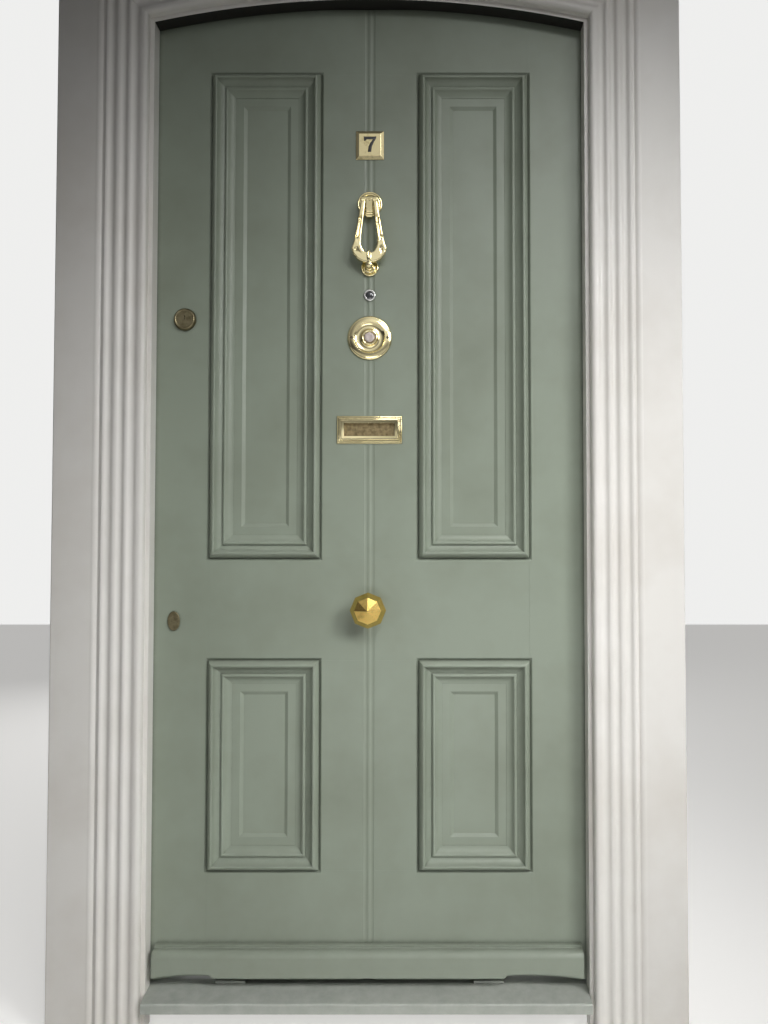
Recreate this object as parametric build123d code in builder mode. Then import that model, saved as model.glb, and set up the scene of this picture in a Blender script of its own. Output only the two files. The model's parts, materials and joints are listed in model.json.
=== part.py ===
"""A four-panelled front door in its rebated frame, with segmental moulded casings.

X runs across the door, Y goes into the house from the outside face of the leaf, and Z goes up
from the underside of the sill. All sizes are in millimetres.
"""
import os
from math import asin, atan, cos, degrees, radians, sin, sqrt

from build123d import *

# Leaf
leaf_width = 915
leaf_height = 2032
leaf_thickness = 44
leaf_gap = 3
threshold_gap = 8
stile_width = 123
muntin_width = 207
top_rail_height = 140.5
lock_rail_height = 212.5
bottom_rail_height = 221
lower_panel_height = 431
tenon_thickness = 14
tenon_length = 75
muntin_tenon_length = 40
tenon_haunch = 25

# Panels and their mouldings
panel_front_depth = 6
panel_thickness = 20
panel_tongue = 9
panel_tongue_thickness = 12
field_depth = 4
field_step = 7
panel_margin = 17
arris_width = 5
arris_depth = 4
moulding_width = 48.5
moulding_crown = 12
moulding_bead = 3.4
mitre_gap = 0.05
inside_bead = 16

# Strip down the middle, run with two shallow flutes
bead_width = 26
bead_depth = 6
strip_flute_pitch = 12.8
strip_flute_width = 9.6
strip_flute_depth = 0.9

# Weatherboard and the worn hollows in the foot of the door
weatherboard_end_gap = 11
weatherboard_bottom = 19
weatherboard_top = 75
weatherboard_projection = 30
weatherboard_fillet = 10
hollow_height = 8
left_hollow_faded = -437
left_hollow_steep = -315
right_hollow_faded = 437
right_hollow_steep = 277

# Frame
frame_front = 32
jamb_width = 97
stop_lap = 9.5
weather_gap = 1.5
stop_joint = 0.05
head_height = 80
foot_drop = 50
arch_rise = 48
arch_crown_gap = 1
casing_fillet = 8.5
casing_width = 186.5
casing_thickness = 18
casing_land = 12
flute_depth = 4.5
casing_arc_chords = 4
sill_front = 20
sill_back = 27
sill_projection = 59
sill_nosing = 4
sill_drip_radius = 4
sill_drip_inset = 14
sill_pad_length = 61
sill_pad_height = 5
sill_pad_depth = 30
sill_pad_centres = (-284, 247)
fixing_radius = 4.5
fixing_spacing = 600
fixing_middle = 1035

# Hinges
hinge_inset = 220
hinge_length = 100
hinge_leaf_thickness = 2.5
hinge_leaf_width = 38
hinge_pin_radius = 3
hinge_knuckle_radius = 6
hinge_knuckles = 5
hinge_knuckle_gap = 0.3
hinge_stand_off = 6.5
hinge_screw_margin = 10
hinge_screw_row_spacing = 16
hinge_screw_spacing = 60
pin_clearance = 0.05

# Screws
screw_head_radius = 4.2
screw_shank_radius = 2.2
screw_length = 28
screw_clearance = 0.1

# Number plate
number_plate_below_top = 294
number_plate_width = 59
number_plate_tall = 61
number_plate_thickness = 4.5
number_plate_bevel = 6.5

# Knocker
rose_below_plate = 126.5
rose_radius = 26.5
rose_projection = 9
knocker_pin_above = 2
knocker_pin_out = 21
knocker_pin_radius = 2.5
lug_half_width = 6.3
eye_radius = 6
loop_thickness = 11
loop_side_gap = 0.6
loop_leg_width = 10.4
loop_inner_width = 17.4
loop_outer_width = 37.2
loop_recess = 1.4
loop_dimple_radius = 1.7
clasp_share = 0.895
clasp_width = 11
clasp_tall = 31
clasp_rise = 2
striker_radius = 7.5
strike_below_rose = 135.5
strike_radius = 18.5
strike_projection = 10
strike_gap = 0.3

# Door viewer
viewer_below_strike = 58
viewer_flange_radius = 12.5
viewer_flange = 3.5
viewer_barrel_radius = 7
viewer_lens_radius = 5

# Bell push
bell_below_viewer = 91
bell_radius = 46.5
bell_dish_radius = 33
bell_collar_radius = 16.5
button_radius = 10.5
button_gap = 0.3
bell_screw_offset = 38
bell_screw_seat = 4.2
bell_screw_head = 2.9
bell_recess_radius = 15
bell_recess_depth = 10

# Letter plate
letter_below_bell = 194
letter_width = 137
letter_tall = 58
letter_opening_width = 106
letter_opening_tall = 27
letter_projection = 9
letter_slot_width = 118
letter_slot_tall = 39
letter_lug_offset = 56
letter_lug_width = 3
letter_lug_depth = 8
letter_bevel = 3.5
flap_width = 107
flap_tall = 31
flap_thickness = 2
flap_rod_radius = 1.5
flap_rod_in = 4.4
flap_rod_above = 15
flap_knuckle_radius = 3
flap_back_gap = 0.6

# Centre knob
knob_above_rail_middle = 0.75
knob_sides = 8
knob_rings = ((26, 22), (39, 37), (52, 27), (60, 1.5))
knob_neck_radius = 13
knob_rose_radius = 27
knob_rose_thickness = 5
knob_neck = 24
knob_nut_washer = 2
knob_nut_height = 5
knob_bolt_radius = 5
knob_nut_radius = 13

# Rim latch
cylinder_height = 1366
cylinder_backset = 69
cylinder_ring_radius = 23.5
cylinder_ring_projection = 9
cylinder_radius = 16
plug_radius = 7
plug_above = 3.5
plug_bar_width = 5
plug_bar_length = 11
plug_bar_thickness = 1.8
latch_case_length = 92
latch_case_height = 66
latch_case_depth = 26
latch_bolt_width = 22
latch_bolt_thickness = 13
latch_bolt_length = 40
latch_bolt_above = 16
latch_bolt_bevel = 9
latch_travel = 15
latch_clearance = 0.4
turn_knob_radius = 13
turn_shaft_radius = 4
turn_shaft_depth = 10
keep_width = 24
keep_screw_reach = 12
keep_screw_head = 1.6

# Mortice lock
keyhole_height = 734
keyhole_backset = 51.5
lock_case_thickness = 16
lock_case_height = 110
lock_case_depth = 78
forend_thickness = 3
forend_width = 22
forend_height = 140
deadbolt_height = 30
deadbolt_above = 30
deadbolt_thickness = 10
deadbolt_length = 45
deadbolt_travel = 14
deadbolt_clearance = 0.4
strike_plate_thickness = 2
escutcheon_width = 25.5
escutcheon_tall = 40
escutcheon_thickness = 2
cover_thickness = 2.5
cover_pin_above = 15
cover_pin_radius = 1.5
keyhole_radius = 4
keyhole_slot = 12

seat = 0.3

# Worked out from the sizes above
half_leaf = leaf_width / 2
leaf_foot = sill_back + threshold_gap
leaf_top = leaf_foot + leaf_height
leaf_middle = leaf_thickness / 2
stop_face = half_leaf - stop_lap
rebate_face = half_leaf + leaf_gap
jamb_back = stop_face + jamb_width
weatherboard_length = 2 * (stop_face - weatherboard_end_gap)
rebate_top = leaf_top + leaf_gap
arch_crown = leaf_top + arch_crown_gap
arch_spring = arch_crown - arch_rise
arch_radius = (stop_face**2 + arch_rise**2) / (2 * arch_rise)
arch_centre = arch_crown - arch_radius
casing_inner = stop_face + casing_fillet
casing_outer = casing_inner + casing_width
cut_through = 4 * leaf_thickness

stile_inner = half_leaf - stile_width
muntin_edge = muntin_width / 2
panel_width = stile_inner - muntin_edge
panel_centre = (stile_inner + muntin_edge) / 2
lower_sill = leaf_foot + bottom_rail_height
lock_rail_bottom = lower_sill + lower_panel_height
lock_rail_top = lock_rail_bottom + lock_rail_height
top_rail_bottom = leaf_top - top_rail_height
upper_panel_height = top_rail_bottom - lock_rail_top
rail_length = 2 * stile_inner
panels = {
    "upper_left": (-panel_centre, (lock_rail_top + top_rail_bottom) / 2, upper_panel_height),
    "upper_right": (panel_centre, (lock_rail_top + top_rail_bottom) / 2, upper_panel_height),
    "lower_left": (-panel_centre, lower_sill + lower_panel_height / 2, lower_panel_height),
    "lower_right": (panel_centre, lower_sill + lower_panel_height / 2, lower_panel_height),
}
tongue_back = panel_front_depth + panel_thickness
tongue_middle = tongue_back - panel_tongue_thickness / 2

number_plate_z = leaf_top - number_plate_below_top
rose_z = number_plate_z - rose_below_plate
knocker_pin_z = rose_z + knocker_pin_above
strike_z = rose_z - strike_below_rose
loop_drop = knocker_pin_z - strike_z
viewer_z = strike_z - viewer_below_strike
bell_z = viewer_z - bell_below_viewer
letter_z = bell_z - letter_below_bell
knob_z = (lock_rail_bottom + lock_rail_top) / 2 + knob_above_rail_middle
cylinder_x = -half_leaf + cylinder_backset
cylinder_z = leaf_foot + cylinder_height
strike_box_depth = deadbolt_travel + 4
keyhole_x = -half_leaf + keyhole_backset
keyhole_z = leaf_foot + keyhole_height
hinge_x = half_leaf + leaf_gap / 2
hinge_y = leaf_thickness + hinge_stand_off


def facing_out(x, z, out=0):
    """A plane that looks out of the house, its own X across the door and its Y upwards."""
    return Plane((x, -out, z), x_dir=(1, 0, 0), z_dir=(0, -1, 0))


def turning(x, z):
    """A plane for a turned profile: its own X is the radius, its Y points out of the house."""
    return Plane((x, 0, z), x_dir=(1, 0, 0), z_dir=(0, 0, -1))


def across(x, z=0):
    """A section plane that faces sideways: its own X points out of the house, its Y upwards."""
    return Plane((x, 0, z), x_dir=(0, -1, 0), z_dir=(-1, 0, 0))


def outward_axis(x, z):
    return Axis((x, 0, z), (0, -1, 0))


def save(piece, name):
    piece.part.label = name
    export_step(piece.part, f"parts/{name}.step")


def worn_hollows(base):
    """Cuts the two worn hollows up from a lower edge, in the piece being made."""
    top = base + hollow_height
    with BuildSketch(facing_out(0, 0, frame_front + sill_projection)) as hollows:
        for faded_end, steep_end in (
            (left_hollow_faded, left_hollow_steep),
            (right_hollow_faded, right_hollow_steep),
        ):
            span = steep_end - faded_end
            shoulder = steep_end - 0.03 * span
            with BuildLine():
                ThreePointArc((faded_end, base), (steep_end - span / 3, top), (shoulder, top - 1))
                Polyline(
                    (shoulder, top - 1),
                    (steep_end, base),
                    (steep_end, base - 1),
                    (faded_end, base - 1),
                    (faded_end, base),
                )
            make_face()
    extrude(hollows.sketch, amount=-cut_through, mode=Mode.SUBTRACT)


def panel_grooves():
    """Cuts the panel grooves, and the sloping front arris round each panel opening."""
    for x, z, height in panels.values():
        with Locations((x, tongue_middle, z)):
            Box(
                panel_width + 2 * (panel_tongue + 1),
                panel_tongue_thickness + 2 * seat,
                height + 2 * (panel_tongue + 1),
                mode=Mode.SUBTRACT,
            )
        with BuildSketch(facing_out(x, z)) as mouth:
            Rectangle(panel_width + 2 * arris_width, height + 2 * arris_width)
        slope = degrees(atan(arris_width / arris_depth))
        extrude(mouth.sketch, amount=-arris_depth, taper=slope, mode=Mode.SUBTRACT)


def bead_groove():
    with Locations((0, bead_depth / 2, leaf_foot + leaf_height / 2)):
        Box(bead_width, bead_depth, leaf_height, mode=Mode.SUBTRACT)


def through_hole(x, z, radius):
    with BuildSketch(facing_out(x, z, frame_front)) as hole:
        Circle(radius)
    extrude(hole.sketch, amount=-cut_through, mode=Mode.SUBTRACT)


def blind_hole(x, z, radius, depth):
    with BuildSketch(facing_out(x, z)) as hole:
        Circle(radius)
    extrude(hole.sketch, amount=-depth, mode=Mode.SUBTRACT)


def centre_fittings_holes():
    """Holes for the knocker, viewer, bell push, letter plate and knob on the centre line."""
    for x, z in knocker_screw_places():
        blind_hole(x, z, screw_shank_radius + screw_clearance, screw_length + 1)
    through_hole(0, viewer_z, viewer_barrel_radius + screw_clearance)
    blind_hole(0, bell_z, bell_recess_radius, bell_recess_depth)
    for side in (-1, 1):
        x = side * bell_screw_offset
        blind_hole(x, bell_z, screw_shank_radius + screw_clearance, screw_length + 1)
    with Locations((0, leaf_middle, letter_z)):
        Box(letter_slot_width, cut_through, letter_slot_tall, mode=Mode.SUBTRACT)
    through_hole(0, knob_z, knob_bolt_radius + screw_clearance)


def knocker_screw_places():
    return [(0, rose_z), (0, strike_z)]


def leaf_member(name, width, height, x, z, tenon_box, sockets, more_cuts):
    """One framing member of the leaf, with its tenons and the sockets that it receives."""
    with BuildPart() as member:
        with Locations((x, leaf_middle, z)):
            Box(width, leaf_thickness, height)
            if tenon_box:
                Box(tenon_box[0], tenon_thickness, tenon_box[1])
        for socket_x, socket_z, socket_width, socket_height in sockets:
            with Locations((socket_x, leaf_middle, socket_z)):
                Box(
                    socket_width + 2,
                    tenon_thickness + 2 * seat,
                    socket_height + 2 * seat,
                    mode=Mode.SUBTRACT,
                )
        for cut in more_cuts:
            cut()
    save(member, name)


def rails():
    """Name, height and middle height of each rail."""
    return {
        "top_rail": (top_rail_height, leaf_top - top_rail_height / 2),
        "lock_rail": (lock_rail_height, lock_rail_bottom + lock_rail_height / 2),
        "bottom_rail": (bottom_rail_height, leaf_foot + bottom_rail_height / 2),
    }


def make_stiles():
    sockets = [
        (0, z, rail_length + 2 * tenon_length, height - 2 * tenon_haunch)
        for height, z in rails().values()
    ]
    middle = leaf_foot + leaf_height / 2
    lock_cuts = [panel_grooves, latch_holes, lock_pocket, foot_hollows]
    hinge_cuts = [panel_grooves, leaf_hinge_rebates, foot_hollows]
    offset = half_leaf - stile_width / 2
    leaf_member("lock_stile", stile_width, leaf_height, -offset, middle, None, sockets, lock_cuts)
    leaf_member("hinge_stile", stile_width, leaf_height, offset, middle, None, sockets, hinge_cuts)


def make_rails():
    muntin_tenon = muntin_width - 2 * tenon_haunch
    for name, (height, z) in rails().items():
        tenon_box = (rail_length + 2 * tenon_length, height - 2 * tenon_haunch)
        sockets = [(0, z, muntin_tenon, length) for z, length in muntin_socket_runs()]
        cuts = [panel_grooves, bead_groove, centre_fittings_holes, foot_hollows, lock_pocket]
        leaf_member(name, rail_length, height, 0, z, tenon_box, sockets, cuts)


def muntin_socket_runs():
    """Middle height and overall length of each muntin with its tenons."""
    return [
        ((lock_rail_top + top_rail_bottom) / 2, upper_panel_height + 2 * muntin_tenon_length),
        (lower_sill + lower_panel_height / 2, lower_panel_height + 2 * muntin_tenon_length),
    ]


def make_muntins():
    names = ("upper_muntin", "lower_muntin")
    heights = (upper_panel_height, lower_panel_height)
    for name, height, (z, length) in zip(names, heights, muntin_socket_runs()):
        tenon_box = (muntin_width - 2 * tenon_haunch, length)
        cuts = [panel_grooves, bead_groove, centre_fittings_holes]
        leaf_member(name, muntin_width, height, 0, z, tenon_box, [], cuts)


def foot_hollows():
    worn_hollows(leaf_foot)


def make_panels():
    """Each panel is a board with a tongue all round and a field sunk in its front."""
    inset = moulding_width + panel_margin
    slope = degrees(atan(field_step / field_depth))
    for name, (x, z, height) in panels.items():
        with BuildPart() as panel:
            with Locations((x, panel_front_depth + panel_thickness / 2, z)):
                Box(panel_width, panel_thickness, height)
            with Locations((x, tongue_middle, z)):
                Box(panel_width + 2 * panel_tongue, panel_tongue_thickness, height + 2 * panel_tongue)
            with BuildSketch(facing_out(x, z, -panel_front_depth)):
                Rectangle(panel_width - 2 * inset, height - 2 * inset)
            extrude(amount=-field_depth, taper=slope, mode=Mode.SUBTRACT)
        save(panel, f"panel_{name}")


def bolection_outline():
    """Half section of the outer moulding: X runs in from the opening's edge, Y stands out."""
    base = -panel_front_depth
    crown = moulding_crown
    quirk = (27.5, -1.5)
    bead_end = (34.5, moulding_bead - 1.5)
    with BuildLine() as outline:
        Line((0, base), (0, base + 1.5))
        TangentArc((0, base + 1.5), (7.5, crown - 1), tangent=(0, 1))
        ThreePointArc((7.5, crown - 1), (10, crown), (12.5, crown - 0.8))
        ThreePointArc((12.5, crown - 0.8), (18, crown / 4), quirk)
        ThreePointArc(quirk, (30.2, moulding_bead), bead_end)
        ThreePointArc(bead_end, (40, -3), (moulding_width, base + 0.8))
        Line((moulding_width, base + 0.8), (moulding_width, base))
        Line((moulding_width, base), (0, base))
    return outline.line


def inside_bead_outline():
    """Section of the inside bead, a small ovolo in the corner of member and panel."""
    with BuildLine() as outline:
        Polyline((0, 0), (inside_bead, 0), (inside_bead, 3))
        ThreePointArc((inside_bead, 3), (11.5, 11.5), (3, inside_bead))
        Polyline((3, inside_bead), (0, inside_bead), (0, 0))
    return outline.line


def mitred_length(outline, x, z, y, half_width, half_height, side, outward):
    """One length of a frame of moulding round an opening, cut to a mitre at both ends."""
    runs = {
        "left": ((x - half_width, y, z), (0, 0, 1), half_height),
        "right": ((x + half_width, y, z), (0, 0, -1), half_height),
        "bottom": ((x, y, z - half_height), (-1, 0, 0), half_width),
        "top": ((x, y, z + half_height), (1, 0, 0), half_width),
    }
    origin, along, half_length = runs[side]
    inward = Vector(x, y, z) - Vector(*origin)
    plane = Plane(origin, x_dir=inward, z_dir=Vector(*along) * -outward)
    start = plane.offset(-half_length)
    with BuildPart() as length:
        with BuildSketch(start):
            add(outline)
            make_face()
        extrude(amount=2 * half_length)
        for end in (-1, 1):
            corner = plane.origin + plane.z_dir * (end * (half_length - mitre_gap))
            mitre = Plane(corner, x_dir=plane.y_dir, z_dir=plane.z_dir * end + plane.x_dir)
            split(bisect_by=mitre, keep=Keep.BOTTOM)
    return length.part


def make_mouldings():
    """Round each panel a bolection moulding outside, and a plain bead inside."""
    beads = []
    sides = ("left", "right", "bottom", "top")
    for name, (x, z, height) in panels.items():
        half_width = panel_width / 2
        half_height = height / 2
        lengths = [
            mitred_length(bolection_outline(), x, z, 0, half_width, half_height, side, 1)
            for side in sides
        ]
        with BuildPart() as moulding:
            add(lengths)
        save(moulding, f"moulding_{name}")
        beads += [
            mitred_length(inside_bead_outline(), x, z, tongue_back, half_width, half_height, side, -1)
            for side in sides
        ]
    with BuildPart() as inside_beads:
        add(beads)
    save(inside_beads, "inside_beads")


def make_centre_bead():
    """One strip let in flush from top to weatherboard, its face run with two shallow flutes."""
    flute_end = strip_flute_width / 2
    bottom = leaf_foot + weatherboard_top
    with BuildPart() as bead:
        with BuildSketch(Plane.XY.offset(bottom)):
            with Locations((0, bead_depth / 2)):
                Rectangle(bead_width, bead_depth)
            for middle in (-strip_flute_pitch / 2, strip_flute_pitch / 2):
                with BuildLine():
                    ThreePointArc((middle - flute_end, 0), (middle, strip_flute_depth), (middle + flute_end, 0))
                    Line((middle + flute_end, 0), (middle - flute_end, 0))
                make_face(mode=Mode.SUBTRACT)
        extrude(amount=leaf_top - bottom)
        centre_fittings_holes()
    save(bead, "centre_bead")


def make_weatherboard():
    """The weatherboard: a fillet, a quirk, a weathered top and a rounded nose."""
    reach = weatherboard_projection
    bottom = leaf_foot + weatherboard_bottom
    top = leaf_foot + weatherboard_top
    with BuildPart() as board:
        with BuildSketch(across(weatherboard_length / 2)):
            with BuildLine():
                Polyline((0, bottom), (0, top), (weatherboard_fillet, top), (weatherboard_fillet, top - 4))
                Line((weatherboard_fillet, top - 4), (weatherboard_fillet + 3, top - 6))
                ThreePointArc((weatherboard_fillet + 3, top - 6), (reach - 3, top - 10), (reach, top - 17))
                Polyline((reach, top - 17), (reach + 1, bottom), (0, bottom))
            make_face()
        extrude(amount=weatherboard_length)
        worn_hollows(bottom)
    save(board, "weatherboard")


def make_number_plate():
    with BuildPart() as plate:
        with BuildSketch(facing_out(0, number_plate_z)):
            Rectangle(number_plate_width, number_plate_tall)
        extrude(amount=number_plate_thickness - 2.5)
        with BuildSketch(facing_out(0, number_plate_z, number_plate_thickness - 2.5)):
            Rectangle(number_plate_width, number_plate_tall)
        extrude(amount=2.5, taper=degrees(atan(number_plate_bevel / 2.5)))
    save(plate, "number_plate")


def make_knocker_rose():
    """Stepped round rose and, on it, the upright lug that carries the hinge pin."""
    edge = rose_radius
    with BuildPart() as rose:
        with BuildSketch(turning(0, rose_z)):
            with BuildLine():
                Polyline((0, 0), (edge, 0), (edge, 2.5))
                ThreePointArc((edge, 2.5), (edge - 2, 4.6), (edge - 4, 3.6))
                ThreePointArc((edge - 4, 3.6), (edge - 6.5, 6.4), (edge - 9, 5.2))
                ThreePointArc((edge - 9, 5.2), (edge - 12, 8.2), (edge - 15, 7.4))
                Polyline((edge - 15, 7.4), (edge - 17, rose_projection), (0, rose_projection), (0, 0))
            make_face()
        revolve(axis=outward_axis(0, rose_z))
        with BuildSketch(across(0, knocker_pin_z)):
            with Locations((knocker_pin_out, 0)):
                Circle(eye_radius)
            with BuildLine():
                Polyline((0, 6), (knocker_pin_out, 6), (knocker_pin_out + 5.2, -3))
                Polyline((knocker_pin_out + 5.2, -3), (17, -22), (4, -24), (0, -22), (0, 6))
            make_face()
            for index in range(3):
                with Locations((15 - index, -22 - 4.6 * index)):
                    Circle(2.7)
            with BuildLine():
                Polyline((0, -20), (15, -20), (12, -33), (2, -33), (0, -20))
            make_face()
        extrude(amount=lug_half_width, both=True)
        with BuildSketch(across(0, knocker_pin_z)):
            with Locations((knocker_pin_out, 0)):
                Circle(knocker_pin_radius)
        extrude(amount=lug_half_width, both=True, mode=Mode.SUBTRACT)
        through_hole(0, rose_z, screw_shank_radius + screw_clearance)
    save(rose, "knocker_rose")


def make_knocker_pin():
    with BuildPart() as pin:
        with BuildSketch(Plane((0, -knocker_pin_out, knocker_pin_z), x_dir=(0, -1, 0), z_dir=(1, 0, 0))):
            Circle(knocker_pin_radius)
        extrude(amount=17, both=True)
    save(pin, "knocker_pin")


def loop_point(half_width, share):
    """A point of the loop's right half: its half width at a share of the drop to the stud."""
    return (half_width, -share * loop_drop)


def make_knocker_loop():
    """Pear-shaped loop: two straight legs that spread from the pin, and a broad scalloped foot."""
    front = knocker_pin_out + loop_thickness / 2
    pin_plane = Plane((0, -knocker_pin_out, knocker_pin_z), x_dir=(0, -1, 0), z_dir=(1, 0, 0))
    inner_top = lug_half_width + loop_side_gap
    outer_top = inner_top + loop_leg_width
    inner_end = loop_point(loop_inner_width, 0.625)
    foot_inside = loop_point(9, 0.8)
    scallop = loop_point(loop_outer_width - 4.4, 0.662)
    lobe_tip = loop_point(loop_outer_width, 0.756)
    lobe_end = loop_point(30, 0.847)
    foot_outside = loop_point(10, 0.971)
    with BuildPart() as loop:
        with BuildSketch(facing_out(0, knocker_pin_z, front)):
            with BuildLine():
                Line(loop_point(inner_top, 0), loop_point(11.2, 0.254))
                Line(loop_point(11.2, 0.254), inner_end)
                ThreePointArc(inner_end, loop_point(loop_inner_width - 1, 0.742), foot_inside)
                Line(foot_inside, loop_point(0, 0.818))
                Line(loop_point(0, 0.818), loop_point(0, 0.975))
                Line(loop_point(0, 0.975), foot_outside)
                ThreePointArc(foot_outside, loop_point(22, 0.927), lobe_end)
                ThreePointArc(lobe_end, loop_point(34.5, 0.811), lobe_tip)
                ThreePointArc(lobe_tip, loop_point(33.6, 0.716), scallop)
                Line(scallop, loop_point(29, 0.531))
                Line(loop_point(29, 0.531), loop_point(22, 0.254))
                Line(loop_point(22, 0.254), loop_point(outer_top, 0))
                Line(loop_point(outer_top, 0), loop_point(inner_top, 0))
            make_face()
            mirror(about=Plane.YZ)
        extrude(amount=-loop_thickness)
        for side in (-1, 1):
            with BuildSketch(pin_plane.offset(side * (inner_top + outer_top) / 2)):
                Circle(eye_radius)
            extrude(amount=loop_leg_width / 2, both=True)
        with BuildSketch(pin_plane):
            Circle(knocker_pin_radius + pin_clearance)
        extrude(amount=rose_radius, both=True, mode=Mode.SUBTRACT)
        with BuildSketch(facing_out(0, knocker_pin_z, front)) as recesses:
            with BuildLine():
                ThreePointArc(loop_point(15.6, 0.26), loop_point(22.8, 0.43), loop_point(25.6, 0.62))
                ThreePointArc(loop_point(25.6, 0.62), loop_point(17.6, 0.45), loop_point(15.6, 0.26))
            make_face()
            with Locations(loop_point(27, 0.77)):
                Circle(loop_dimple_radius)
            mirror(about=Plane.YZ)
        extrude(recesses.sketch, amount=-loop_recess, mode=Mode.SUBTRACT)
        clasp_z = knocker_pin_z - clasp_share * loop_drop
        with BuildSketch(facing_out(0, clasp_z, front + clasp_rise)):
            RectangleRounded(clasp_width, clasp_tall, clasp_width / 2 - 0.5)
        extrude(amount=-loop_thickness - clasp_rise)
        with BuildSketch(facing_out(0, clasp_z + striker_radius / 2, front + clasp_rise)) as eye:
            SlotOverall(clasp_tall / 2, clasp_width / 3, rotation=90)
        extrude(eye.sketch, amount=-clasp_rise, mode=Mode.SUBTRACT)
        with BuildSketch(facing_out(0, strike_z, front)):
            Circle(striker_radius)
        extrude(amount=-(front - strike_projection - strike_gap))
    save(loop, "knocker_loop")


def make_knocker_strike():
    edge = strike_radius
    with BuildPart() as strike:
        with BuildSketch(turning(0, strike_z)):
            with BuildLine():
                Polyline((0, 0), (edge, 0), (edge, 2.5))
                ThreePointArc((edge, 2.5), (edge - 2, 4.5), (edge - 4, 3.8))
                ThreePointArc((edge - 4, 3.8), (11, 3), (8, 6))
                ThreePointArc((8, 6), (6.8, 9), (4, strike_projection))
                Polyline((4, strike_projection), (0, strike_projection), (0, 0))
            make_face()
        revolve(axis=outward_axis(0, strike_z))
        blind_pin(0, strike_z)
    save(strike, "knocker_strike")


def blind_pin(x, z):
    """A screw shank cast on the back of a fitting, in its hole in the door."""
    with BuildSketch(facing_out(x, z)) as shank:
        Circle(screw_shank_radius)
    extrude(shank.sketch, amount=-screw_length)


def make_viewer():
    """Barrel with its outside flange and inside nut, and the lens in its mouth."""
    flange = viewer_flange
    back = leaf_thickness
    with BuildPart() as barrel:
        with BuildSketch(turning(0, viewer_z)):
            with BuildLine():
                Polyline((viewer_lens_radius, -back - 3), (viewer_lens_radius, 0.5), (8.5, 0.5))
                Polyline((8.5, 0.5), (8.5, flange - 1), (9.5, flange), (11, flange))
                ThreePointArc((11, flange), (12.1, flange - 0.8), (viewer_flange_radius, flange - 2))
                Polyline((viewer_flange_radius, flange - 2), (viewer_flange_radius, 0))
                Polyline((viewer_flange_radius, 0), (viewer_barrel_radius, 0))
                Line((viewer_barrel_radius, 0), (viewer_barrel_radius, -back))
                Polyline((viewer_barrel_radius, -back), (12, -back), (12, -back - 3))
                Line((12, -back - 3), (viewer_lens_radius, -back - 3))
            make_face()
        revolve(axis=outward_axis(0, viewer_z))
    save(barrel, "viewer_barrel")
    with BuildPart() as lens:
        with BuildSketch(turning(0, viewer_z)):
            with BuildLine():
                Polyline((0, -6), (viewer_lens_radius - 0.1, -6), (viewer_lens_radius - 0.1, 0.5), (8.2, 0.5))
                Line((8.2, 0.5), (8.2, 1.2))
                TangentArc((0, 3.3), (8.2, 1.2), tangent=(1, 0))
                Line((0, 3.3), (0, -6))
            make_face()
        revolve(axis=outward_axis(0, viewer_z))
    save(lens, "viewer_lens")


def make_bell_rose():
    """Turned rose: a broad rim, a deep dish and a raised collar round the button."""
    hole = button_radius + button_gap
    with BuildPart() as rose:
        with BuildSketch(turning(0, bell_z)):
            with BuildLine():
                Polyline((bell_recess_radius, 0), (bell_radius, 0), (bell_radius, 1.8))
                ThreePointArc((bell_radius, 1.8), (bell_radius - 1.5, 3.8), (bell_radius - 4, 4.6))
                ThreePointArc((bell_radius - 4, 4.6), (38, 6), (bell_dish_radius, 6.6))
                ThreePointArc((bell_dish_radius, 6.6), (26, 3), (20, 3.4))
                ThreePointArc((20, 3.4), (bell_collar_radius + 1, 5), (bell_collar_radius, 8))
                ThreePointArc((bell_collar_radius, 8), (14.8, 9.2), (13, 8.6))
                Polyline((13, 8.6), (hole, 7), (hole, 4.5), (bell_recess_radius, 1.5))
                Line((bell_recess_radius, 1.5), (bell_recess_radius, 0))
            make_face()
        revolve(axis=outward_axis(0, bell_z))
        for side in (-1, 1):
            through_hole(side * bell_screw_offset, bell_z, screw_shank_radius + screw_clearance)
            with BuildSketch(facing_out(side * bell_screw_offset, bell_z, bell_screw_seat)) as sink:
                Circle(bell_screw_head + screw_clearance)
            extrude(sink.sketch, amount=bell_radius, mode=Mode.SUBTRACT)
    save(rose, "bell_rose")


def make_bell_button():
    with BuildPart() as button:
        with BuildSketch(turning(0, bell_z)):
            with BuildLine():
                Polyline((0, 2.7), (12.6, 2.7), (button_radius, 4), (button_radius, 8))
                ThreePointArc((button_radius, 8), (8.5, 9.8), (6, 10.2))
                TangentArc((0, 9.7), (6, 10.2), tangent=(1, 0))
                Line((0, 9.7), (0, 2.7))
            make_face()
        revolve(axis=outward_axis(0, bell_z))
    save(button, "bell_button")


def make_bell_contact():
    with BuildPart() as contact:
        with BuildSketch(facing_out(0, bell_z, -bell_recess_depth)):
            Circle(bell_recess_radius - seat)
        extrude(amount=bell_recess_depth)
    save(contact, "bell_contact")


def make_bell_screws():
    with BuildPart() as screws:
        for side in (-1, 1):
            x = side * bell_screw_offset
            with BuildSketch(facing_out(x, bell_z, bell_screw_seat)) as head:
                Circle(bell_screw_head)
            extrude(head.sketch, amount=1.2)
            with BuildSketch(facing_out(x, bell_z, bell_screw_seat)) as shank:
                Circle(screw_shank_radius)
            extrude(shank.sketch, amount=-screw_length)
    save(screws, "bell_screws")


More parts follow.
